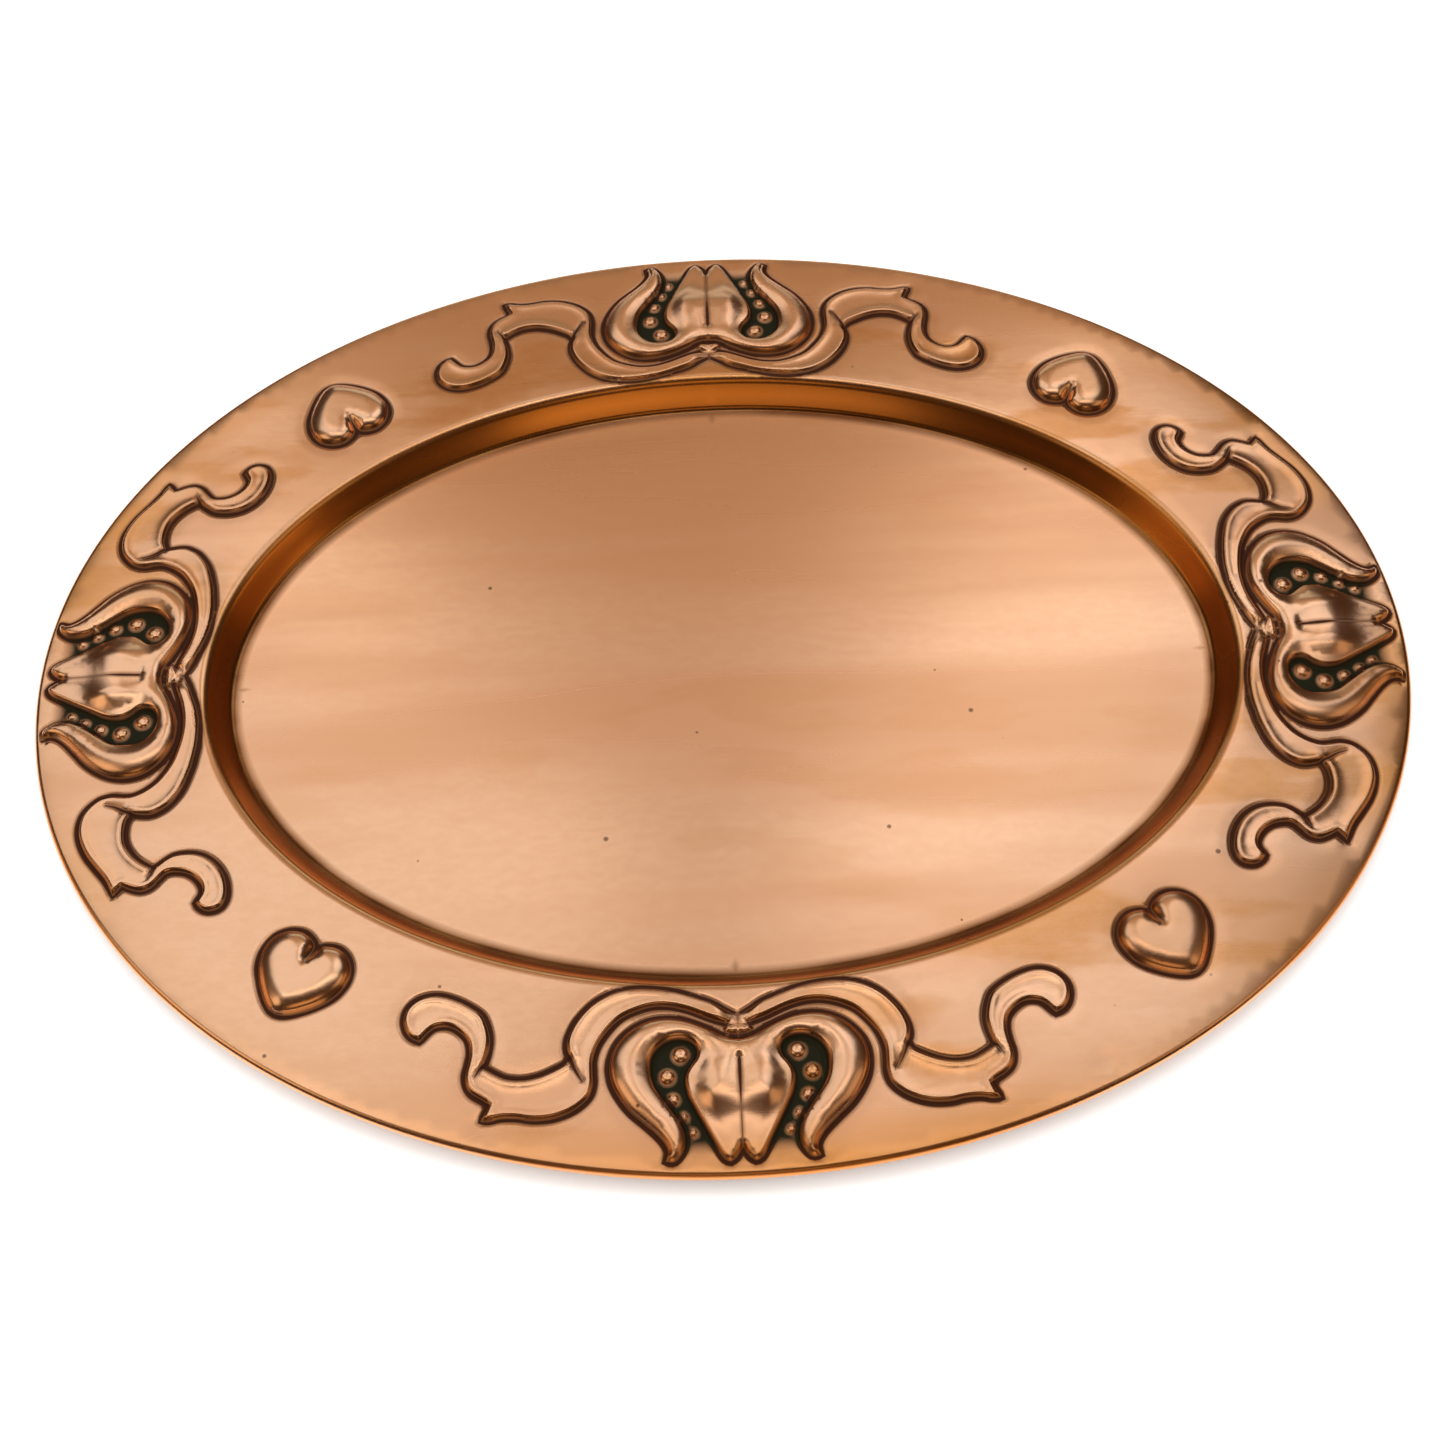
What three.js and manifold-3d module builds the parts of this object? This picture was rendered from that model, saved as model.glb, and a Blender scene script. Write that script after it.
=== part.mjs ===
// Oval copper tray with a wide raised-work flange, rolled over an iron wire at its edge.
//
// Frame: millimetres, +Z up, the tray lies on its well floor at z = 0, centred on x = y = 0,
// +X along its length. The sheet is one piece: floor, wall, flange, ornament and rolled edge.
// The only other piece is the wire inside the rolled edge.

import * as THREE from 'three';
import { ParametricGeometry } from 'three/addons/geometries/ParametricGeometry.js';
import { mergeVertices } from 'three/addons/utils/BufferGeometryUtils.js';
import Module from 'manifold-3d';

// ---- Overall sizes ----
const TRAY_LENGTH = 600;
const TRAY_WIDTH = 470;
const SHEET = 0.9;

// ---- Well: flange widths run from the outer edge to the corner of flange and wall ----
const FLANGE_AT_ENDS = 73.5;
const FLANGE_AT_SIDES = 78.5;
const WELL_DEPTH = 14;
const WALL_RUN = 8;
const SHOULDER_RADIUS = 6;
const FOOT_RADIUS = 4;

// ---- Rolled edge and its wire ----
const WIRE_DIAMETER = 2.5;
const WIRE_CLEARANCE = 0.3;
const ROLL_TURN = 290;

// ---- Raised work: heights above the flange ----
const RIBBON_HEIGHT = 2.2;
const LOBE_HEIGHT = 4.4;
const BUD_HEIGHT = 6;
const HEART_HEIGHT = 4.6;

// ---- Where the raised work sits ----
const ORNAMENT_LINE_INSET = 39;
const SIDE_ROOT_INSET = 65.3;
const END_ROOT_INSET = 64.4;
const HEART_LEAN = 6;

// ---- Flange widths that the insets above and the outlines below are drawn for ----
const DRAWN_FOR_ENDS = 73.5;
const DRAWN_FOR_SIDES = 78.5;

// ---- Fineness of the faces ----
const RING_STEPS = 72;
const ROLL_STEPS = 10;
const BEND_STEPS = 3;
const WIRE_SIDES = 8;

const HALF_LENGTH = TRAY_LENGTH / 2;
const HALF_WIDTH = TRAY_WIDTH / 2;
const FLANGE_TOP = SHEET + WELL_DEPTH;
const ROLL_RADIUS = WIRE_DIAMETER / 2 + WIRE_CLEARANCE + SHEET;
const EMBED = SHEET / 2;
const CUT_BELOW = 1;
const END_SCALE = FLANGE_AT_ENDS / DRAWN_FOR_ENDS;
const SIDE_SCALE = FLANGE_AT_SIDES / DRAWN_FOR_SIDES;
const HEART_SCALE = (END_SCALE + SIDE_SCALE) / 2;

// Ribbon outlines: [distance along the ornament line, distance outward from it], one half.
// Each run is a smooth curve, and runs meet at corners: the root notch, the thorn, the hook
// tip and the two folds.
const SIDE_RIBBON = [
  [[0, -25.5], [11, -31.3], [25, -35.6], [43, -36.5], [57, -32.5], [66.5, -23], [70, -12], [67.5, -5]],
  [[67.5, -5], [72.5, 1], [83, 7], [94, 7.2], [99.5, 5.5]],
  [[99.5, 5.5], [99.5, -1], [103.5, -11], [114, -17], [126.5, -17.5], [135.5, -12.5], [137, -3.5], [127, 3]],
  [[127, 3], [121.5, -5.5], [113, -5.5], [106.5, 1.5], [105.2, 10.5], [100.5, 17], [92.8, 19.5]],
  [[92.8, 19.5], [94, 26.3]],
  [[94, 26.3], [81.5, 22.5], [69.5, 20.5], [60, 14], [56.4, 4.5], [58, -5.5], [54, -17.5], [43.5, -26.5],
    [29, -29.5], [11, -24.8], [5.5, -23]],
];
const END_RIBBON = [
  [[0, -25], [10.5, -28.8], [32.5, -31.3], [52, -26.5], [67, -17], [72.5, -4], [68, 5.5]],
  [[68, 5.5], [74.5, 11], [83.5, 12.6], [95.5, 8]],
  [[95.5, 8], [96.5, -4.5], [104, -11.7], [116.5, -13], [127.2, -7], [126.3, 1.8], [119.7, 3]],
  [[119.7, 3], [114.5, -3.3], [105.5, -1.5], [100.8, 5], [102.3, 13], [95, 22]],
  [[95, 22], [96.3, 27]],
  [[96.3, 27], [83.5, 27.5], [70, 28.8], [60.5, 24.5], [56, 15.5], [60, 2], [57, -10], [43, -21], [24.5, -25],
    [6, -21.5]],
];

// Tulip outline: [sideways, outward from the root], one half, from the middle of its base
// round the outer petal, down and up the bead pocket, and along the bud to its notch.
const TULIP = [
  [[0, 10.2], [10, 6.3], [22, 1.2], [34, 0.9], [45.5, 7.5], [50.8, 19.5], [47.3, 32], [37.5, 43.2], [29.5, 52],
    [29.6, 57.6]],
  [[29.6, 57.6], [23.8, 55.5], [21.9, 47.5], [26.7, 38], [33, 28], [34.3, 20], [31, 12.8], [22.6, 9.7], [16.8, 14],
    [19.4, 20.7], [21.5, 28.2], [18.4, 37.3], [10.5, 52.6], [4.7, 58.9], [0, 53.3]],
];
const BUD = [
  [[0, 17], [8, 17], [14, 22], [17.5, 29], [14.5, 37], [9, 45], [0, 50]],
];

// Heart outline: [sideways, toward the point], one half, from its cleft to its point.
const HEART = [
  [[0, -10], [4, -16], [11, -17.2], [18, -11], [18.6, -2], [13, 8.5], [5, 15.8], [0, 17.3]],
];

const wasm = await Module();
wasm.setup();

/** Makes a solid from any closed geometry, leaving out triangles that have no area. */
function toSolid(geometry) {
  const bare = new THREE.BufferGeometry();
  bare.setAttribute('position', geometry.getAttribute('position').clone());
  if (geometry.index) {
    bare.setIndex(geometry.index.clone());
  }
  const merged = mergeVertices(bare, 1e-3);
  const index = merged.index.array;
  const corners = [];
  for (let i = 0; i < index.length; i += 3) {
    const [a, b, c] = [index[i], index[i + 1], index[i + 2]];
    if (a !== b && b !== c && c !== a) {
      corners.push(a, b, c);
    }
  }
  const mesh = new wasm.Mesh({
    numProp: 3,
    vertProperties: new Float32Array(merged.getAttribute('position').array),
    triVerts: new Uint32Array(corners),
  });
  return new wasm.Manifold(mesh);
}

/** Turns a solid back into a geometry with flat-shaded faces. */
function toGeometry(solid) {
  const mesh = solid.getMesh();
  const geometry = new THREE.BufferGeometry();
  geometry.setAttribute('position', new THREE.BufferAttribute(mesh.vertProperties, 3));
  geometry.setIndex(new THREE.BufferAttribute(mesh.triVerts, 1));
  const flat = geometry.toNonIndexed();
  flat.computeVertexNormals();
  return flat;
}

/** The point at one angle of an oval, moved outward square to the oval. */
function ovalPoint(halfLength, halfWidth, angle, outward) {
  const normal = new THREE.Vector2(Math.cos(angle) / halfLength, Math.sin(angle) / halfWidth).normalize();
  const x = halfLength * Math.cos(angle) + outward * normal.x;
  const y = halfWidth * Math.sin(angle) + outward * normal.y;
  return new THREE.Vector2(x, y);
}

const onEdge = (angle, out) => ovalPoint(HALF_LENGTH, HALF_WIDTH, angle, out);
const onWell = (angle, out) =>
  ovalPoint(HALF_LENGTH - FLANGE_AT_ENDS, HALF_WIDTH - FLANGE_AT_SIDES, angle, out);
const onCentre = () => new THREE.Vector2(0, 0);

/** Points of an arc in the section, as stations on one rail: angles in degrees. */
function arcStations(rail, centreOut, centreZ, radius, from, to, steps) {
  const stations = [];
  for (let i = 0; i <= steps; i += 1) {
    const angle = THREE.MathUtils.degToRad(from + ((to - from) * i) / steps);
    const out = centreOut + radius * Math.cos(angle);
    const z = centreZ + radius * Math.sin(angle);
    stations.push({ rail, out, z });
  }
  return stations;
}

/** Sweeps a closed section, given as stations, once round the oval. */
function sweepRound(stations) {
  const place = (turn, along, target) => {
    const station = stations[Math.round(along * (stations.length - 1))];
    const plan = station.rail(turn * 2 * Math.PI, station.out);
    target.set(plan.x, plan.y, station.z);
  };
  return new ParametricGeometry(place, RING_STEPS, stations.length - 1);
}

/** Turns a solid's faces outward if its sweep ran the other way. */
function facingOut(geometry) {
  const solid = toSolid(geometry);
  if (solid.volume() > 0) {
    return solid;
  }
  const index = geometry.index.array;
  for (let i = 0; i < index.length; i += 3) {
    [index[i + 1], index[i + 2]] = [index[i + 2], index[i + 1]];
  }
  return toSolid(geometry);
}

/** The plain tray: floor, foot bend, wall, shoulder bend, flange and rolled edge. */
function makeShell() {
  const slope = THREE.MathUtils.radToDeg(Math.atan2(WELL_DEPTH, WALL_RUN));
  const tangent = Math.tan(THREE.MathUtils.degToRad(slope / 2));
  const footOut = -WALL_RUN - FOOT_RADIUS * tangent;
  const footZ = SHEET + FOOT_RADIUS;
  const shoulderOut = SHOULDER_RADIUS * tangent;
  const shoulderZ = FLANGE_TOP - SHOULDER_RADIUS;
  const rollZ = FLANGE_TOP - ROLL_RADIUS;
  const foot = (radius, from, to) => arcStations(onWell, footOut, footZ, radius, from, to, BEND_STEPS);
  const shoulder = (radius, from, to) =>
    arcStations(onWell, shoulderOut, shoulderZ, radius, from, to, BEND_STEPS);
  const roll = (radius, from, to) => arcStations(onEdge, -ROLL_RADIUS, rollZ, radius, from, to, ROLL_STEPS);
  const rollEnd = 90 - ROLL_TURN;
  return facingOut(sweepRound([
    { rail: onCentre, out: 0, z: SHEET },
    ...foot(FOOT_RADIUS, -90, slope - 90),
    ...shoulder(SHOULDER_RADIUS, slope + 90, 90),
    ...roll(ROLL_RADIUS, 90, rollEnd),
    ...roll(ROLL_RADIUS - SHEET, rollEnd, 90),
    ...shoulder(SHOULDER_RADIUS - SHEET, 90, slope + 90),
    ...foot(FOOT_RADIUS + SHEET, slope - 90, -90),
    { rail: onCentre, out: 0, z: 0 },
  ]));
}

/** The wire ring, held in the middle of the rolled edge. */
function makeWire() {
  const centreZ = FLANGE_TOP - ROLL_RADIUS;
  return facingOut(sweepRound(
    arcStations(onEdge, -ROLL_RADIUS, centreZ, WIRE_DIAMETER / 2, 0, 360, WIRE_SIDES),
  ));
}

/** Points along the smooth runs of an outline, about one step apart. */
function traceRuns(runs, step) {
  const points = [];
  for (const run of runs) {
    const curve = new THREE.SplineCurve(run.map(([x, y]) => new THREE.Vector2(x, y)));
    const count = Math.max(1, Math.round(curve.getLength() / step));
    points.push(...curve.getSpacedPoints(count).slice(0, -1));
  }
  const last = runs.at(-1).at(-1);
  points.push(new THREE.Vector2(last[0], last[1]));
  return points;
}

/** Closes a half outline with its mirror image across its first axis. */
function withMirror(half) {
  const mirrored = half
    .filter((point) => point.x > 1e-6)
    .map((point) => new THREE.Vector2(-point.x, point.y))
    .reverse();
  return [...half, ...mirrored];
}

/** Moves a closed outline inward, leaving out the points that crowd into a corner. */
function insetOutline(points, distance) {
  const sign = THREE.ShapeUtils.isClockWise(points) ? -1 : 1;
  const count = points.length;
  const gapTo = (point) => Math.min(...points.map((from, i) => {
    const to = points[(i + 1) % count];
    const along = to.clone().sub(from);
    const share = THREE.MathUtils.clamp(point.clone().sub(from).dot(along) / along.lengthSq(), 0, 1);
    return from.clone().addScaledVector(along, share).distanceTo(point);
  }));
  const moved = points.map((point, i) => {
    const before = points[(i + count - 1) % count];
    const after = points[(i + 1) % count];
    const heading = after.clone().sub(before).normalize();
    return point.clone().add(new THREE.Vector2(-heading.y, heading.x).multiplyScalar(sign * distance));
  });
  return moved.filter((point) => gapTo(point) > distance * 0.93);
}

/** A straight-sided solid over an outline, between two heights. */
function prism(outline, bottom, top) {
  const geometry = new THREE.ExtrudeGeometry(new THREE.Shape(outline), {
    depth: top - bottom,
    bevelEnabled: false,
  });
  geometry.translate(0, 0, bottom);
  return toSolid(geometry);
}

/** A boss and the hollow behind it, so the wall stays one sheet thick. */
function raise(outline, height) {
  const top = FLANGE_TOP + height;
  return {
    boss: prism(outline, FLANGE_TOP - EMBED, top),
    hollow: prism(insetOutline(outline, SHEET), FLANGE_TOP - SHEET - CUT_BELOW, top - SHEET),
  };
}

const ornamentLine = new THREE.EllipseCurve(
  0,
  0,
  HALF_LENGTH - ORNAMENT_LINE_INSET * END_SCALE,
  HALF_WIDTH - ORNAMENT_LINE_INSET * SIDE_SCALE,
);
ornamentLine.arcLengthDivisions = 2000;

/** Lays a point on the ornament line: a distance along it from a quarter mark, and one outward. */
function followLine(quarter, along, outward) {
  const share = THREE.MathUtils.euclideanModulo(quarter / 4 + along / ornamentLine.getLength(), 1);
  const tangent = ornamentLine.getTangentAt(share);
  const normal = new THREE.Vector2(tangent.y, -tangent.x);
  return ornamentLine.getPointAt(share).addScaledVector(normal, outward);
}

/** What stands at a quarter mark: even marks are the ends, odd ones the long sides. */
function atMark(quarter) {
  if (quarter % 2 === 0) {
    return { ribbon: END_RIBBON, scale: END_SCALE, reach: HALF_LENGTH - END_ROOT_INSET * END_SCALE };
  }
  return { ribbon: SIDE_RIBBON, scale: SIDE_SCALE, reach: HALF_WIDTH - SIDE_ROOT_INSET * SIDE_SCALE };
}

/** A whole outline from the smooth runs of its half, at the size of the flange it stands on. */
function outlineOf(runs, step, scale) {
  return withMirror(traceRuns(runs, step)).map((point) => point.multiplyScalar(scale));
}

/** Both ribbons of one quarter mark, raised. */
function raiseRibbons(quarter) {
  const { ribbon, scale } = atMark(quarter);
  const laid = outlineOf(ribbon, 10, scale).map((point) => followLine(quarter, point.x, point.y));
  return raise(laid, RIBBON_HEIGHT);
}

/** Places a flat outline with its middle at a point, its up direction turned to an angle. */
function turnTo(points, origin, upAngle) {
  const up = new THREE.Vector2(Math.cos(upAngle), Math.sin(upAngle));
  const right = new THREE.Vector2(up.y, -up.x);
  return points.map((point) => origin.clone().addScaledVector(right, point.x).addScaledVector(up, point.y));
}

/** The tulip of one quarter mark: petals and, higher, the bud. */
function raiseTulip(quarter) {
  const angle = (quarter * Math.PI) / 2;
  const { scale, reach } = atMark(quarter);
  const root = new THREE.Vector2(Math.cos(angle), Math.sin(angle)).multiplyScalar(reach);
  const petals = turnTo(outlineOf(TULIP, 8, scale), root, angle);
  const bud = turnTo(outlineOf(BUD, 7, scale), root, angle);
  return [raise(petals, LOBE_HEIGHT), raise(bud, BUD_HEIGHT)];
}

/** The heart between two quarter marks, half way between the hooks of their ribbons. */
function raiseHeart(quarter) {
  const hookAt = ({ ribbon, scale }) => scale * Math.max(...ribbon.flat().map(([along]) => along));
  const from = hookAt(atMark(quarter));
  const to = ornamentLine.getLength() / 4 - hookAt(atMark(quarter + 1));
  const middle = followLine(quarter, (from + to) / 2, 0);
  const outer = followLine(quarter, (from + to) / 2, 1);
  const lean = THREE.MathUtils.degToRad(quarter % 2 === 0 ? HEART_LEAN : -HEART_LEAN);
  const outward = Math.atan2(outer.y - middle.y, outer.x - middle.x);
  const outline = turnTo(outlineOf(HEART, 8, HEART_SCALE), middle, outward + lean);
  return raise(outline, HEART_HEIGHT);
}

/** The whole sheet: the shell with every raised part joined on and hollowed behind. */
function makeSheet() {
  const raised = [0, 1, 2, 3].flatMap((quarter) => [
    raiseRibbons(quarter),
    ...raiseTulip(quarter),
    raiseHeart(quarter),
  ]);
  const withBosses = raised.reduce((solid, { boss }) => solid.add(boss), makeShell());
  return raised.reduce((solid, { hollow }) => solid.subtract(hollow), withBosses);
}

function namedMesh(name, solid, material) {
  const mesh = new THREE.Mesh(toGeometry(solid), material);
  mesh.name = name;
  return mesh;
}

const copper = new THREE.MeshStandardMaterial({ color: 0xc8875a, metalness: 1, roughness: 0.35 });
const iron = new THREE.MeshStandardMaterial({ color: 0x5b5752, metalness: 1, roughness: 0.6 });

const tray = new THREE.Group();
tray.add(namedMesh('tray_sheet', makeSheet(), copper));
tray.add(namedMesh('rim_wire', makeWire(), iron));

export default tray;
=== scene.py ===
"""Oval copper tray with raised tulips, ribbons and hearts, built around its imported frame.

The sheet and the wire are modelled in millimetres and brought to metres at the end.
"""

import logging
import math
from dataclasses import dataclass
from enum import Enum
from typing import ClassVar, Sequence

import bmesh
import bpy
import numpy as np
from mathutils import Matrix, Vector
from mathutils.geometry import delaunay_2d_cdt


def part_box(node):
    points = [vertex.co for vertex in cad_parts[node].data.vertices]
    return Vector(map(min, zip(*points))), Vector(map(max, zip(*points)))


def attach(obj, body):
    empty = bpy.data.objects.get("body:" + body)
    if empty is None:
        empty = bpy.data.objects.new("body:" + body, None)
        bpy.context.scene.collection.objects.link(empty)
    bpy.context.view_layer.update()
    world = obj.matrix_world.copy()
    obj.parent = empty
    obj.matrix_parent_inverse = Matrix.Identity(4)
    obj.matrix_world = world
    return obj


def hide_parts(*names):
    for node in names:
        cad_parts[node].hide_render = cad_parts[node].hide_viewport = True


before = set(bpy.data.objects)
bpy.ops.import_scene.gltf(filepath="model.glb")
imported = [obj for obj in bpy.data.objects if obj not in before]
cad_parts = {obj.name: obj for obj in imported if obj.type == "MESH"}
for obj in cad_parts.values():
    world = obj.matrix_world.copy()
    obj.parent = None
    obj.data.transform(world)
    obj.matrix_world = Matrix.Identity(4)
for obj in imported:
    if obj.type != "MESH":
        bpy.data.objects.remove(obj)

LOG = logging.getLogger("copper_tray")
MM = 0.001
CURVE_STEPS = 12  # straight legs between two points that a curve passes through
LOCATE_ROUNDS = 12  # rounds that find the nearest point of an oval
CHUNK = 2000  # points measured at one time
MEASURE_STEP = 0.8  # legs of an outline that depths are measured from, in millimetres
NUDGE, TINY = 1e-9, 1e-12  # keep a division away from nought
Point = tuple[float, float]
Colour = tuple[float, ...]
Runs = Sequence[Sequence[Point]]
Socket = bpy.types.NodeSocket
BMesh = bmesh.types.BMesh


# ---------------------------------------------------------------- plain geometry


def ramp(value: np.ndarray, low: float, high: float) -> np.ndarray:
    """Rises smoothly from 0 at low to 1 at high."""
    share = np.clip((value - low) / (high - low), 0.0, 1.0)
    return share * share * (3.0 - 2.0 * share)


def fall(value: np.ndarray, low: float, high: float) -> np.ndarray:
    """Falls smoothly from 1 at low to 0 at high."""
    return 1.0 - ramp(value, low, high)


def ridge(value: np.ndarray, stops: Sequence[float]) -> np.ndarray:
    """Rises from 0 to 1 between the first two stops and falls back between the last two."""
    return ramp(value, stops[0], stops[1]) - ramp(value, stops[2], stops[3])


def dome(share: np.ndarray) -> np.ndarray:
    """A quarter circle's height: 0 at 0 and 1 from 1 on."""
    return np.sqrt(1.0 - (1.0 - np.clip(share, 0.0, 1.0)) ** 2)


def smooth_run(points: Sequence[Point], step: float) -> np.ndarray:
    """Draws one smooth curve through its points.

    Args:
        points: The points that the curve passes through.
        step: The distance between the points returned.

    Returns:
        Evenly spaced points, with both ends of the run kept.
    """
    given = np.array(points, float)
    padded = np.vstack([2 * given[0] - given[1], given, 2 * given[-1] - given[-2]])
    share = np.linspace(0.0, 1.0, CURVE_STEPS + 1)[:-1, None]
    pieces = []
    for p0, p1, p2, p3 in zip(padded, padded[1:], padded[2:], padded[3:]):
        bend = 2 * p0 - 5 * p1 + 4 * p2 - p3
        twist = 3 * (p1 - p2) + p3 - p0
        pieces.append(0.5 * (2 * p1 + (p2 - p0) * share + bend * share**2 + twist * share**3))
    fine = np.vstack([*pieces, given[-1:]])
    along = np.concatenate([[0.0], np.cumsum(np.hypot(*np.diff(fine, axis=0).T))])
    count = max(1, round(along[-1] / step))
    marks = np.linspace(0.0, along[-1], count + 1)
    return np.stack([np.interp(marks, along, fine[:, i]) for i in (0, 1)], axis=1)


def join_runs(runs: Runs, step: float) -> np.ndarray:
    """Joins smooth runs that meet at corners into one line of points."""
    parts = [smooth_run(run, step) for run in runs]
    return np.vstack([*(part[:-1] for part in parts), parts[-1][-1:]])


def distance_to(points: np.ndarray, line: np.ndarray) -> tuple[np.ndarray, np.ndarray]:
    """Measures how far points are from a line of points.

    Args:
        points: The plan points to measure.
        line: The line, as points joined in order.

    Returns:
        The shortest distance of each point, and how far along the line it falls, from 0 to 1.
    """
    start, leg = line[:-1], np.diff(line, axis=0)
    length = (leg**2).sum(1) + TINY
    before = np.concatenate([[0.0], np.cumsum(np.sqrt(length))])
    near, along = np.empty(len(points)), np.empty(len(points))
    for low in range(0, len(points), CHUNK):
        some = slice(low, low + CHUNK)
        part = points[some, None, :] - start
        share = np.clip((part * leg).sum(2) / length, 0.0, 1.0)
        gap = ((part - share[..., None] * leg) ** 2).sum(2)
        best = gap.argmin(1)
        rows = np.arange(len(best))
        near[some] = np.sqrt(gap[rows, best])
        along[some] = before[best] + share[rows, best] * np.sqrt(length[best])
    return near, along / before[-1]


def inside(points: np.ndarray, outline: np.ndarray) -> np.ndarray:
    """Says which points lie inside a closed outline."""
    within = np.zeros(len(points), bool)
    ends = np.roll(outline, -1, axis=0)
    for (x0, y0), (x1, y1) in zip(outline, ends):
        if y0 == y1:
            continue
        crosses = (points[:, 1] >= min(y0, y1)) & (points[:, 1] < max(y0, y1))
        at = x0 + (points[:, 1] - y0) * (x1 - x0) / (y1 - y0)
        within ^= crosses & (points[:, 0] < at)
    return within


def signed_depth(points: np.ndarray, line: np.ndarray) -> np.ndarray:
    """How deep points are inside the area that a line bounds: negative outside it.

    The straight side that closes the line is a mirror axis, so it isn't measured to.
    """
    near, _ = distance_to(points, line)
    return np.where(inside(points, line), near, -near)


@dataclass(frozen=True)
class Oval:
    """An oval rail that a section is swept along, in millimetres."""

    half_length: float
    half_width: float

    def at(self, angle: np.ndarray, out: float | np.ndarray) -> np.ndarray:
        """Points at angles round the oval, moved outward square to it."""
        side = np.cos(angle) / self.half_length, np.sin(angle) / self.half_width
        size = np.hypot(*side)
        x = self.half_length * np.cos(angle) + out * side[0] / size
        y = self.half_width * np.sin(angle) + out * side[1] / size
        return np.stack([x, y], axis=-1)

    def locate(self, points: np.ndarray) -> tuple[np.ndarray, np.ndarray]:
        """Finds where plan points stand by the oval.

        Args:
            points: Plan points in any quarter.

        Returns:
            The angle on the oval nearest to each point, and its distance outward.
        """
        p = np.abs(points) + NUDGE
        a, b = self.half_length, self.half_width
        t = np.full((len(p), 2), math.sqrt(0.5))
        for _ in range(LOCATE_ROUNDS):
            bow = (a * a - b * b) * t[:, 0] ** 3 / a, (b * b - a * a) * t[:, 1] ** 3 / b
            centre = np.stack(bow, axis=1)
            reach = np.linalg.norm(t * (a, b) - centre, axis=1)
            gap = np.linalg.norm(p - centre, axis=1) + TINY
            t = np.clip(((p - centre) * (reach / gap)[:, None] + centre) / (a, b), 0.0, 1.0)
            t /= np.linalg.norm(t, axis=1)[:, None] + TINY
        on = t * (a, b)
        beyond = np.where((p / (a, b)) ** 2 @ (1.0, 1.0) > 1.0, 1.0, -1.0)
        way = np.sign(points[:, 0] + TINY), np.sign(points[:, 1])
        angle = np.arctan2(t[:, 1] * way[1], t[:, 0] * way[0])
        return angle, beyond * np.linalg.norm(p - on, axis=1)


class OrnamentLine:
    """The oval line that the ribbons follow, measured along its length."""

    marks = 2001

    def __init__(self, oval: Oval) -> None:
        """Measures the first quarter of the oval."""
        self.oval = oval
        self.angles = np.linspace(0.0, math.pi / 2, self.marks)
        walk = np.hypot(*np.diff(oval.at(self.angles, 0.0), axis=0).T)
        self.along = np.concatenate([[0.0], np.cumsum(walk)])

    @property
    def quarter(self) -> float:
        """The length of a quarter of the line."""
        return float(self.along[-1])

    def lay(self, along: np.ndarray, out: np.ndarray) -> np.ndarray:
        """Lays points on the line: a distance from the end mark, and one outward."""
        return self.oval.at(np.interp(along, self.along, self.angles), out)


# ---------------------------------------------------------------- sizes


@dataclass(frozen=True)
class TraySizes:
    """The tray's own sizes, in millimetres. The two overall ones come from the frame."""

    half_length: float
    half_width: float
    sheet: float = 0.9
    flange_at_ends: float = 73.5
    flange_at_sides: float = 78.5
    well_depth: float = 14.0
    wall_run: float = 8.0
    shoulder_radius: float = 6.0
    foot_radius: float = 4.0
    wire_diameter: float = 2.5
    wire_clearance: float = 0.3
    roll_turn: float = 290.0
    ornament_inset: float = 39.0
    end_root_inset: float = 64.4
    side_root_inset: float = 65.3
    heart_lean: float = 6.0

    @property
    def edge(self) -> Oval:
        """The rail of the outer edge."""
        return Oval(self.half_length, self.half_width)

    @property
    def well(self) -> Oval:
        """The rail of the corner between flange and wall."""
        return Oval(self.half_length - self.flange_at_ends, self.half_width - self.flange_at_sides)

    @property
    def flange_top(self) -> float:
        """The height of the flange's upper face."""
        return self.sheet + self.well_depth

    @property
    def roll_radius(self) -> float:
        """The outer radius of the rolled edge."""
        return self.wire_diameter / 2 + self.wire_clearance + self.sheet


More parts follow.
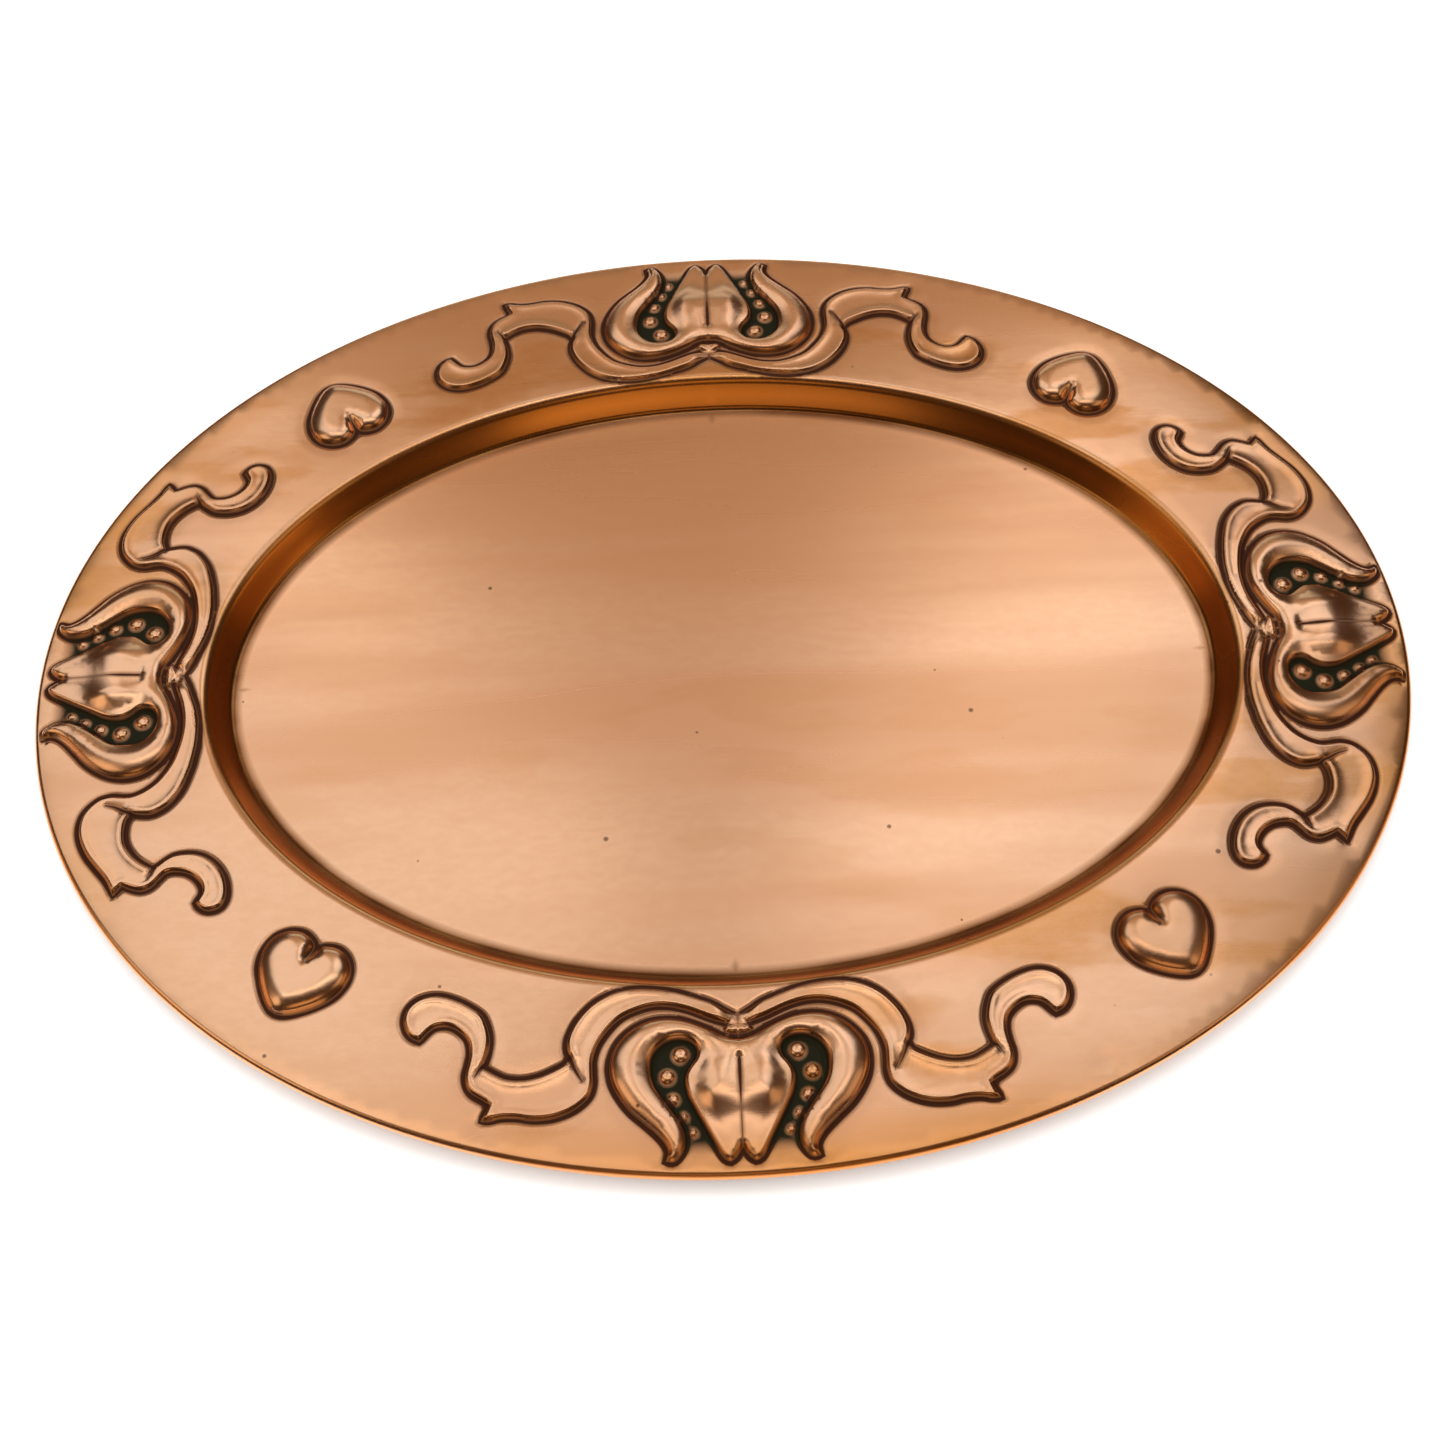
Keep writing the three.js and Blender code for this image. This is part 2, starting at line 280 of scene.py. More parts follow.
@dataclass(frozen=True)
class Bends:
    """The well's section for one face of the sheet: foot arc, straight wall, shoulder arc."""

    foot_out: float
    foot_z: float
    foot_radius: float
    shoulder_out: float
    shoulder_z: float
    shoulder_radius: float
    slope: float

    @classmethod
    def of(cls, sizes: TraySizes, below: float) -> "Bends":
        """The bends of a face a given depth under the sheet's upper face."""
        slope = math.atan2(sizes.well_depth, sizes.wall_run)
        tangent = math.tan(slope / 2)
        return cls(
            foot_out=-sizes.wall_run - sizes.foot_radius * tangent,
            foot_z=sizes.sheet + sizes.foot_radius,
            foot_radius=sizes.foot_radius + below,
            shoulder_out=sizes.shoulder_radius * tangent,
            shoulder_z=sizes.flange_top - sizes.shoulder_radius,
            shoulder_radius=sizes.shoulder_radius - below,
            slope=slope,
        )

    def stations(self, foot_steps: int, shoulder_steps: int) -> list[float]:
        """Distances from the well rail at which the section needs a ring."""
        turns = [self.slope * i / foot_steps for i in range(foot_steps + 1)]
        foot = [self.foot_out + self.foot_radius * math.sin(turn) for turn in turns]
        turns = [self.slope * (1 - i / shoulder_steps) for i in range(shoulder_steps + 1)]
        shoulder = [self.shoulder_out - self.shoulder_radius * math.sin(turn) for turn in turns]
        return [*foot, (foot[-1] + shoulder[0]) / 2, *shoulder]

    def height(self, out: np.ndarray) -> np.ndarray:
        """The face's height at distances outward from the well rail."""
        foot_run = self.foot_radius * math.sin(self.slope)
        shoulder_run = self.shoulder_radius * math.sin(self.slope)
        run = np.clip(out - self.foot_out, 0.0, foot_run)
        foot = self.foot_z - np.sqrt(self.foot_radius**2 - run**2)
        left = np.clip(self.shoulder_out - out, 0.0, shoulder_run)
        shoulder = self.shoulder_z + np.sqrt(self.shoulder_radius**2 - left**2)
        wall_from, wall_to = self.foot_out + foot_run, self.shoulder_out - shoulder_run
        wall = foot + (out - wall_from) * math.tan(self.slope)
        return np.where(out <= wall_from, foot, np.where(out >= wall_to, shoulder, wall))


# ---------------------------------------------------------------- raised work


class Mark(Enum):
    """Where a tulip and its two ribbons stand."""

    END = "end"
    SIDE = "side"


# Ribbon edges: [distance along the ornament line, distance outward from it], from the middle.
RIBBON_RUNS: dict[Mark, Runs] = {
    Mark.SIDE: (
        ((0, -25.5), (5.5, -28.5), (11, -31.5), (18, -33.7), (25, -35.6), (34, -36.8), (43, -36.7),
         (50.5, -35.3), (57, -32.5), (62.5, -28.3), (66.5, -23), (69, -17.5), (70, -12), (69.3, -8),
         (67.5, -5)),
        ((67.5, -5), (69, -2), (72.5, 1), (77.5, 4.5), (83, 7), (89, 8), (94, 7.2), (99.5, 5.5)),
        ((99.5, 5.5), (99.5, -1), (100.6, -6), (103.5, -11), (107.5, -15), (114, -17), (120, -17.8),
         (126.5, -17.5), (131.5, -15.8), (135.5, -12.5), (137.5, -8), (137, -3.5), (134.5, 0.3),
         (131, 2.5), (127, 3)),
        ((127, 3), (124.5, -3), (121.5, -5.5), (117.5, -6.5), (113, -5.5), (109, -3), (106.5, 1.5),
         (105.6, 6), (105.2, 10.5), (103.5, 14.5), (100.5, 17), (96, 18.5), (92.8, 19.5)),
        ((92.8, 19.5), (94, 26.3)),
        ((94, 26.3), (91, 25.7), (87, 23.7), (81.5, 22.5), (76, 22.2), (69.5, 20.5), (64, 17.5),
         (60, 14), (57, 9.5), (56.4, 4.5), (57.3, -0.5), (58, -5.4), (57, -11.5), (54, -17.6),
         (49.5, -23.2), (43.5, -26.8), (36.5, -29.2), (29, -29.6), (22, -28.4), (16.5, -26.6),
         (11, -24.6), (5.5, -23)),
    ),
    Mark.END: (
        ((0, -25), (5, -27), (10.5, -28.8), (21, -31), (32.5, -31.3), (43.5, -29.5), (52, -26.5),
         (59, -23), (67, -17), (71.5, -10), (72.5, -4), (71.5, 0), (68, 5.5)),
        ((68, 5.5), (70.5, 8.5), (74.5, 11), (79, 12.5), (83.5, 12.6), (88, 11.7), (92.5, 9.8),
         (95.5, 8)),
        ((95.5, 8), (95, 0), (96.5, -4.5), (99.5, -8.5), (104, -11.7), (110, -13.3), (116.5, -13),
         (122.5, -10.8), (127.2, -7), (128.7, -2.5), (126.3, 1.8), (122.5, 3.2), (119.7, 3)),
        ((119.7, 3), (118, -1.5), (114.5, -3.3), (110, -3.3), (105.5, -1.5), (102, 2), (100.8, 5),
         (101.5, 9), (102.3, 13), (101.2, 17), (98, 20), (95, 22)),
        ((95, 22), (96.3, 27)),
        ((96.3, 27), (89.5, 26.5), (83.5, 27.5), (76.5, 28.8), (70, 28.8), (65, 27.5), (60.5, 24.5),
         (57.7, 20.5), (56, 15.5), (56.5, 10.5), (58.5, 6.5), (60, 2), (59.5, -4), (57, -10),
         (51, -16.5), (43, -21), (34, -24), (24.5, -25), (16, -24), (6, -21.5)),
    ),
}

# Lines chased across a ribbon where it folds over, in the same measures.
FOLD_RUNS: dict[Mark, Runs] = {
    Mark.SIDE: (
        ((67.5, -5), (66, -2.5), (63.5, 1), (60.5, 4.5)),
        ((99.5, 5.5), (100.5, 7.5), (101.2, 10.5)),
    ),
    Mark.END: (
        ((68, 5.5), (66, 7.5), (62.5, 10.5), (60, 14)),
        ((95.5, 8), (96.5, 9.5), (98, 12)),
    ),
}

# Tulip edges: [sideways, outward from its root], one half of it.
LOBE_RUN: Sequence[Point] = (
    (0, 10.2), (5, 9.2), (10, 6.3), (16, 3.3), (22, 1.2), (28, 0.4), (34, 0.9), (40, 3.2),
    (45.5, 7.5), (49.3, 13), (50.8, 19.5), (50, 26), (47.3, 32), (43, 38), (37.5, 43.2),
    (32.5, 48), (29.5, 52), (28.6, 55.3), (29.6, 58),
)
POCKET_RUN: Sequence[Point] = (
    (29.6, 58), (26.5, 58.6), (23.8, 56.3), (21.9, 52.5), (21.9, 47.5), (23.7, 42.8), (26.7, 38),
    (30.2, 33), (33.3, 28), (34.5, 22.5), (34, 17), (31.4, 12.8), (27.3, 10.2), (22.6, 9.7),
    (18.7, 11), (16.5, 14), (17, 17.6), (19.4, 20.7), (21.2, 24.2), (21.5, 28.2), (20.5, 32.7),
    (18.4, 37.3), (15.9, 42.2), (13, 47.9), (10.5, 52.6), (8.5, 56.4), (6.6, 58.6), (4.7, 59.2),
)
NOTCH_RUN: Sequence[Point] = ((4.7, 59.2), (2.6, 57.8), (1, 55.5), (0, 53.3))
VEIN: Sequence[Point] = ((0.0, 16.5), (0.0, 54.0))
BEADS: Sequence[tuple[float, float, float]] = (
    (22.8, 15.9, 3.7), (28.2, 24.6, 3.5), (26.1, 33.7, 2.9), (22.4, 41.0, 2.5), (18.8, 47.3, 2.3),
)
HEART_RUN: Sequence[Point] = (
    (0, -13.3), (3, -16.2), (8.5, -17.6), (14, -15.6), (18, -11), (19.2, -5), (17.5, 2),
    (13, 8.5), (7.3, 14), (3, 16.7), (0, 17.3),
)
CLEFT: Sequence[Point] = ((0.0, -13.3), (0.0, -4.5))
CLEFT_CREASE: Sequence[Point] = ((0, -13.3), (0, -5))


@dataclass
class Relief:
    """What the raised work does to the sheet at a set of plan points.

    Attributes:
        height: Height above the flange.
        line: Distance from the nearest chased line's side: negative in the line.
        pocket: 1 on the dark ground between the beads.
        wall: 1 on the steep wall of the well, where a reflection and shade are painted.
        foot: 1 in the corner at the wall's foot, where a dark shadow is painted.
        rim: 1 at the rolled edge, fading inward.
    """

    no_line: ClassVar[float] = 9.0
    height: np.ndarray
    line: np.ndarray
    pocket: np.ndarray
    wall: np.ndarray
    foot: np.ndarray
    rim: np.ndarray

    @classmethod
    def plain(cls, count: int) -> "Relief":
        """No raised work at all."""
        rest = (np.zeros(count) for _ in range(4))
        return cls(np.zeros(count), np.full(count, cls.no_line), *rest)

    def chase(self, gap: np.ndarray, half_width: float | np.ndarray) -> None:
        """Draws a dark line: gap is each point's distance from its middle."""
        self.line = np.minimum(self.line, gap - half_width)


class Ornament:
    """One raised motif of the first quarter: its lines, and the height it gives the sheet.

    The groove is the chased line just outside an outline: how far out its middle is, its
    half width in colour, its depth, and how far from its middle it starts and stops
    rising. The dip is the shallow hollow that the metal round a motif is drawn into.
    """

    groove_middle = 0.75
    groove_half = 0.98
    groove_depth = 0.55
    groove_rise = (0.2, 1.15)
    dip_depth = 0.16
    dip_rise = (1.5, 7.0)
    overlap = 0.1

    def creases(self, step: float) -> list[np.ndarray]:
        """The lines that the mesh keeps as edges."""
        raise NotImplementedError

    def raise_on(self, plan: np.ndarray, relief: Relief, inset: float) -> None:
        """Adds this motif's height and lines at plan points, its walls moved in by inset."""
        raise NotImplementedError

    def outline_groove(self, depth: np.ndarray, relief: Relief, inset: float) -> None:
        """Sinks the chased line that runs just outside an outline."""
        gap = np.abs(depth + self.groove_middle)
        low, high = self.groove_rise
        sunk = self.groove_depth * fall(gap, low, high + inset)
        dip = self.dip_depth * fall(-depth, *self.dip_rise)
        plain = (depth < self.overlap) & (relief.height <= 0.0)
        relief.height = np.where(plain, np.minimum(relief.height, -dip), relief.height)
        cut = (depth < self.overlap) & (sunk > 0.0)
        relief.height = np.where(cut, np.minimum(relief.height, -sunk - dip), relief.height)
        relief.chase(gap, self.groove_half)

    def set_body(self, depth: np.ndarray, relief: Relief, body: np.ndarray, inset: float) -> None:
        """Cuts the outline's groove and stands the motif's body on the flange."""
        self.outline_groove(depth, relief, inset)
        relief.height = np.where(depth > 0.0, np.maximum(relief.height, 0.0) + body, relief.height)


@dataclass
class Ribbon(Ornament):
    """The ribbon on one side of a tulip, a raised band with light rims and two folds.

    Each pair gives the depths inside the outline between which the band rises or is
    dished, or the distances between which it fades at the mirror axis and at a fold.
    """

    line: OrnamentLine
    mark: Mark
    height: float = 1.8
    rim_rise: Point = (-0.1, 1.15)
    dish: float = 0.5
    dish_rise: Point = (1.7, 4.4)
    axis_fade: Point = (0.0, 9.0)
    fold_depth: float = 0.9
    fold_rise: Point = (0.15, 1.5)
    fold_half: float = 0.85
    fold_taper: float = 0.75

    def place(self, points: np.ndarray) -> np.ndarray:
        """Lays ribbon points on the ornament line of the first quarter."""
        along = points[:, 0] if self.mark is Mark.END else self.line.quarter - points[:, 0]
        return self.line.lay(along, points[:, 1])

    def creases(self, step: float) -> list[np.ndarray]:
        """The ribbon's outline and its folds."""
        outline = self.place(join_runs(RIBBON_RUNS[self.mark], step))
        return [outline, *(self.place(smooth_run(run, step)) for run in FOLD_RUNS[self.mark])]

    def raise_on(self, plan: np.ndarray, relief: Relief, inset: float) -> None:
        """Raises the band, dishes its middle and chases its folds."""
        outline, *folds = self.creases(MEASURE_STEP)
        depth = signed_depth(plan, outline)
        low, high = self.rim_rise
        band = self.height * ramp(depth, low + inset, high + inset)
        band -= self.dish * ramp(depth, *self.dish_rise)
        across = plan[:, 1 if self.mark is Mark.END else 0]
        band *= ramp(across, *self.axis_fade)
        self.set_body(depth, relief, band, inset)
        for fold in folds:
            gap, along = distance_to(plan, fold)
            taper = 1.0 - self.fold_taper * along
            relief.height -= self.fold_depth * taper * fall(gap, *self.fold_rise) * (depth > -0.5)
            relief.chase(gap, self.fold_half * taper)


@dataclass
class Tulip(Ornament):
    """Half a tulip: an outer petal, the beaded pocket and the bud.

    Heights and depths come with the distances over which they rise. The lip is the light
    rim by the pocket and the furrow is the hollow behind it; the vein is the line down
    the bud; the knob is the short bar at the root.
    """

    mark: Mark
    reach: float
    lobe_height: float = 4.4
    lobe_round: float = 9.0
    wing_height: float = 2.4
    wing_round: float = 3.2
    bud_start: Point = (9.0, 21.0)
    hump_height: float = 3.5
    hump_at: Point = (8.2, 31.0)
    hump_across: Point = (6.8, 10.0)
    hump_along: Point = (8.2, 13.0)
    hump_rise: Point = (0.5, 6.0)
    lip: float = 0.4
    lip_stops: Sequence[float] = (0.1, 0.9, 1.3, 2.4)
    furrow: float = 0.18
    furrow_stops: Sequence[float] = (2.0, 3.0, 3.0, 4.4)
    vein_depth: float = 1.3
    vein_rise: Point = (0.2, 2.0)
    vein_half: Point = (0.75, -0.25)
    pocket_depth: float = 0.7
    pocket_end: Point = (50.0, 57.0)
    pocket_edge: Point = (-0.35, 0.15)
    bead_flatness: float = 0.5
    knob_at: float = 6.1
    knob_half: float = 3.7
    knob_radius: float = 1.9
    knob_height: float = 1.5
    knob_round: float = 1.2

    def place(self, points: np.ndarray) -> np.ndarray:
        """Puts points given from the tulip's root in the first quarter."""
        out = points[:, 1] + self.reach
        pair = (out, points[:, 0]) if self.mark is Mark.END else (points[:, 0], out)
        return np.stack(pair, axis=1)

    def local(self, plan: np.ndarray) -> tuple[np.ndarray, np.ndarray]:
        """Plan points as distances sideways and outward from the root."""
        across, out = (1, 0) if self.mark is Mark.END else (0, 1)
        return plan[:, across], plan[:, out] - self.reach

    def creases(self, step: float) -> list[np.ndarray]:
        """The tulip's outline, its knob and the foot of each bead."""
        lines = [self.place(join_runs((LOBE_RUN, POCKET_RUN, NOTCH_RUN), step))]
        for u, v, radius in BEADS:
            turn = np.linspace(0.0, 2 * math.pi, max(10, round(2 * math.pi * radius / step)) + 1)
            ring = np.stack([u + radius * np.cos(turn), v + radius * np.sin(turn)], axis=1)
            lines.append(self.place(ring))
        turn = np.linspace(-math.pi / 2, math.pi / 2, 7)
        side = self.knob_half + self.knob_radius * np.cos(turn)
        knob = np.stack([side, self.knob_at + self.knob_radius * np.sin(turn)], axis=1)
        lines.append(self.place(np.vstack([(0.0, knob[0, 1]), knob, (0.0, knob[-1, 1])])))
        return lines

    def bud_side(self, v: np.ndarray) -> np.ndarray:
        """How far sideways the middle of the pocket is at distances outward."""
        stops = [(v_bead, u_bead) for u_bead, v_bead, _ in BEADS]
        out, side = zip((8.0, 17.0), *stops, (58.0, 15.0))
        return np.interp(v, out, side)

    def raise_on(self, plan: np.ndarray, relief: Relief, inset: float) -> None:
        """Raises petals, bud, beads and knob, and sinks the pocket between them."""
        u, v = self.local(plan)
        outline = join_runs((LOBE_RUN, POCKET_RUN, NOTCH_RUN), MEASURE_STEP)
        here = np.stack([u, v], axis=1)
        depth = signed_depth(here, outline)
        within = np.maximum(depth - inset, 0.0)
        is_bud = (u < self.bud_side(v)) * ramp(v, *self.bud_start)
        petal = self.lobe_height * dome(within / self.lobe_round)
        at_u, at_v = self.hump_at
        side = np.where(u > at_u, *self.hump_across)
        reach = np.where(v > at_v, *self.hump_along)
        hump = np.exp(-(((u - at_u) / side) ** 2) - ((v - at_v) / reach) ** 2)
        bud = self.wing_height * dome(within / self.wing_round)
        bud += self.hump_height * hump * ramp(within, *self.hump_rise)
        body = petal * (1.0 - is_bud) + bud * is_bud
        edge, _ = distance_to(here, smooth_run(POCKET_RUN, MEASURE_STEP))
        furrow = self.furrow * ridge(edge, self.furrow_stops)
        body += self.lip * ridge(edge, self.lip_stops) - furrow
        self.set_body(depth, relief, body, inset)
        self.groove_bud(here, relief, depth > 0.0)
        self.fill_pocket(here, relief, inset)
        self.add_knob(u, v, relief, inset)

    def groove_bud(self, here: np.ndarray, relief: Relief, on_body: np.ndarray) -> None:
        """Chases the line down the middle of the bud, deepest near its base."""
        gap, along = distance_to(here, np.array(VEIN))
        strength = ramp(along, 0.0, 0.08) * (1.0 - 0.7 * ramp(along, 0.25, 0.6))
        relief.height -= on_body * self.vein_depth * strength * fall(gap, *self.vein_rise)
        deep, faint = self.vein_half
        relief.chase(gap, deep * strength + faint * (1.0 - strength))

    def fill_pocket(self, here: np.ndarray, relief: Relief, inset: float) -> None:
        """Sinks the pocket's dark ground and sets the beads on it."""
        depth = signed_depth(here, smooth_run(POCKET_RUN, MEASURE_STEP))
        low, high = self.pocket_edge
        fade = fall(here[:, 1], *self.pocket_end)
        relief.height -= (depth > 0.0) * self.pocket_depth * fade * ramp(depth, 0.0, 0.8)
        relief.pocket = np.maximum(relief.pocket, ramp(depth, low, high) * fade)
        for u, v, radius in BEADS:
            away = np.hypot(here[:, 0] - u, here[:, 1] - v)
            rise = np.sqrt(np.maximum((radius - inset) ** 2 - away**2, 0.0))
            ball = self.bead_flatness * rise
            relief.height = np.where(ball > 0.0, ball - self.pocket_depth * fade, relief.height)
            relief.pocket = np.minimum(relief.pocket, ramp(away, radius + low, radius + high))

    def add_knob(self, u: np.ndarray, v: np.ndarray, relief: Relief, inset: float) -> None:
        """Raises the short bar that the two ribbons leave from."""
        away = np.hypot(np.maximum(u - self.knob_half, 0.0), v - self.knob_at)
        depth = self.knob_radius - away
        relief.chase(np.abs(depth + 0.5) + Relief.no_line * (v < self.knob_at), 0.5)
        bar = self.knob_height * dome(np.maximum(depth - inset, 0.0) / self.knob_round)
        relief.height = np.where(depth > 0.0, bar, relief.height)


@dataclass
class Heart(Ornament):
    """A puffed heart with a cleft, its point toward the well's side of the flange."""

    centre: np.ndarray
    up_angle: float
    height: float = 4.5
    round_over: float = 8.0
    fullness: float = 1.1
    cleft_reach: float = 3.0

    def axes(self) -> tuple[np.ndarray, np.ndarray]:
        """The heart's sideways and lengthways directions."""
        up = np.array([math.cos(self.up_angle), math.sin(self.up_angle)])
        return np.array([up[1], -up[0]]), up

    def place(self, points: np.ndarray) -> np.ndarray:
        """Turns heart points to where the heart lies."""
        right, up = self.axes()
        return self.centre + points[:, :1] * right + points[:, 1:] * up

    def outline(self, step: float) -> np.ndarray:
        """The whole outline, from the cleft round to the cleft, in heart measures."""
        half = smooth_run(HEART_RUN, step)
        return np.vstack([half, (half * (-1.0, 1.0))[-2::-1]])

    def creases(self, step: float) -> list[np.ndarray]:
        """The outline and the cleft."""
        return [self.place(self.outline(step)), self.place(smooth_run(CLEFT_CREASE, step))]

    def raise_on(self, plan: np.ndarray, relief: Relief, inset: float) -> None:
        """Puffs the heart up and draws its cleft in."""
        right, up = self.axes()
        here = np.stack([(plan - self.centre) @ right, (plan - self.centre) @ up], axis=1)
        depth = signed_depth(here, self.outline(MEASURE_STEP))
        within = np.maximum(depth - inset, 0.0)
        puff = self.height * dome(within / self.round_over) ** self.fullness
        gap, along = distance_to(here, np.array(CLEFT))
        puff *= 1.0 - (1.0 - along) * fall(gap, 0.0, self.cleft_reach)
        self.set_body(depth, relief, puff, inset)
        relief.chase(gap, 1.0 - along - 0.2)


class RaisedWork:
    """All the ornament of the first quarter of the tray."""

    def __init__(self, sizes: TraySizes) -> None:
        """Places both half tulips, both ribbons and the heart."""
        inset = sizes.ornament_inset
        self.sizes = sizes
        self.line = OrnamentLine(Oval(sizes.half_length - inset, sizes.half_width - inset))
        self.motifs: list[Ornament] = [
            Ribbon(self.line, Mark.END),
            Ribbon(self.line, Mark.SIDE),
            Tulip(Mark.END, sizes.half_length - sizes.end_root_inset),
            Tulip(Mark.SIDE, sizes.half_width - sizes.side_root_inset),
            self.heart(),
        ]

    def heart(self) -> Heart:
        """The heart, half way between the hooks of the two ribbons."""
        hook = {mark: max(max(run)[0] for run in runs) for mark, runs in RIBBON_RUNS.items()}
        middle = (hook[Mark.END] + self.line.quarter - hook[Mark.SIDE]) / 2
        here, beyond = self.line.lay(np.array([middle, middle]), np.array([0.0, 1.0]))
        step = beyond - here
        angle = math.atan2(step[1], step[0]) + math.radians(self.sizes.heart_lean)
        return Heart(here, angle)

    def creases(self, step: float) -> list[np.ndarray]:
        """Every line that the mesh keeps."""
        return [line for motif in self.motifs for line in motif.creases(step)]

    def relief(self, plan: np.ndarray, inset: float) -> Relief:
        """The raised work at plan points of the first quarter."""
        relief = Relief.plain(len(plan))
        for motif in self.motifs:
            motif.raise_on(plan, relief, inset)
        return relief


# ---------------------------------------------------------------- the sheet


class PlanPoints:
    """Plan points for one face, kept apart from each other, with the edges it must keep."""

    cell = 2.0

    def __init__(self) -> None:
        """Starts with no points."""
        self.points: list[Point] = []
        self.edges: list[tuple[int, int]] = []
        self.grid: dict[tuple[int, int], list[int]] = {}

    def near(self, point: Sequence[float], gap: float) -> int:
        """The index of a point already within a gap, or -1."""
        cx, cy = int(point[0] // self.cell), int(point[1] // self.cell)
        reach = int(gap // self.cell) + 1
        for i in range(cx - reach, cx + reach + 1):
            for j in range(cy - reach, cy + reach + 1):
                for k in self.grid.get((i, j), ()):
                    x, y = self.points[k]
                    if (x - point[0]) ** 2 + (y - point[1]) ** 2 < gap * gap:
                        return k
        return -1

    def add(self, point: Sequence[float], gap: float) -> int:
        """Adds a point unless one is near; returns its index or the near one's."""
        found = self.near(point, gap)
        if found >= 0:
            return found
        self.points.append((float(point[0]), float(point[1])))
        key = (int(point[0] // self.cell), int(point[1] // self.cell))
        self.grid.setdefault(key, []).append(len(self.points) - 1)
        return len(self.points) - 1

    def add_line(self, line: np.ndarray, gap: float = 0.02) -> None:
        """Adds a line whose legs stay edges of the mesh."""
        order = [self.add(point, gap) for point in line]
        self.edges += [(a, b) for a, b in zip(order, order[1:]) if a != b]

    def scatter(self, points: np.ndarray, gap: float) -> None:
        """Adds loose points that aren't crowded."""
        for point in points:
            self.add(point, gap)

    def triangulate(self) -> tuple[np.ndarray, list[list[int]]]:
        """Joins the points into triangles that keep every edge."""
        given = [Vector(point) for point in self.points]
        result = delaunay_2d_cdt(given, self.edges, [], 0, 1e-5, False)
        return np.array([tuple(p) for p in result[0]]), result[2]


@dataclass(frozen=True)
class Weave:
    """How close together the points of one face lie, in millimetres."""

    rows: tuple[float, ...]
    along: float
    fill: float
    plain: float
    floor: float
    foot_steps: int
    shoulder_steps: int


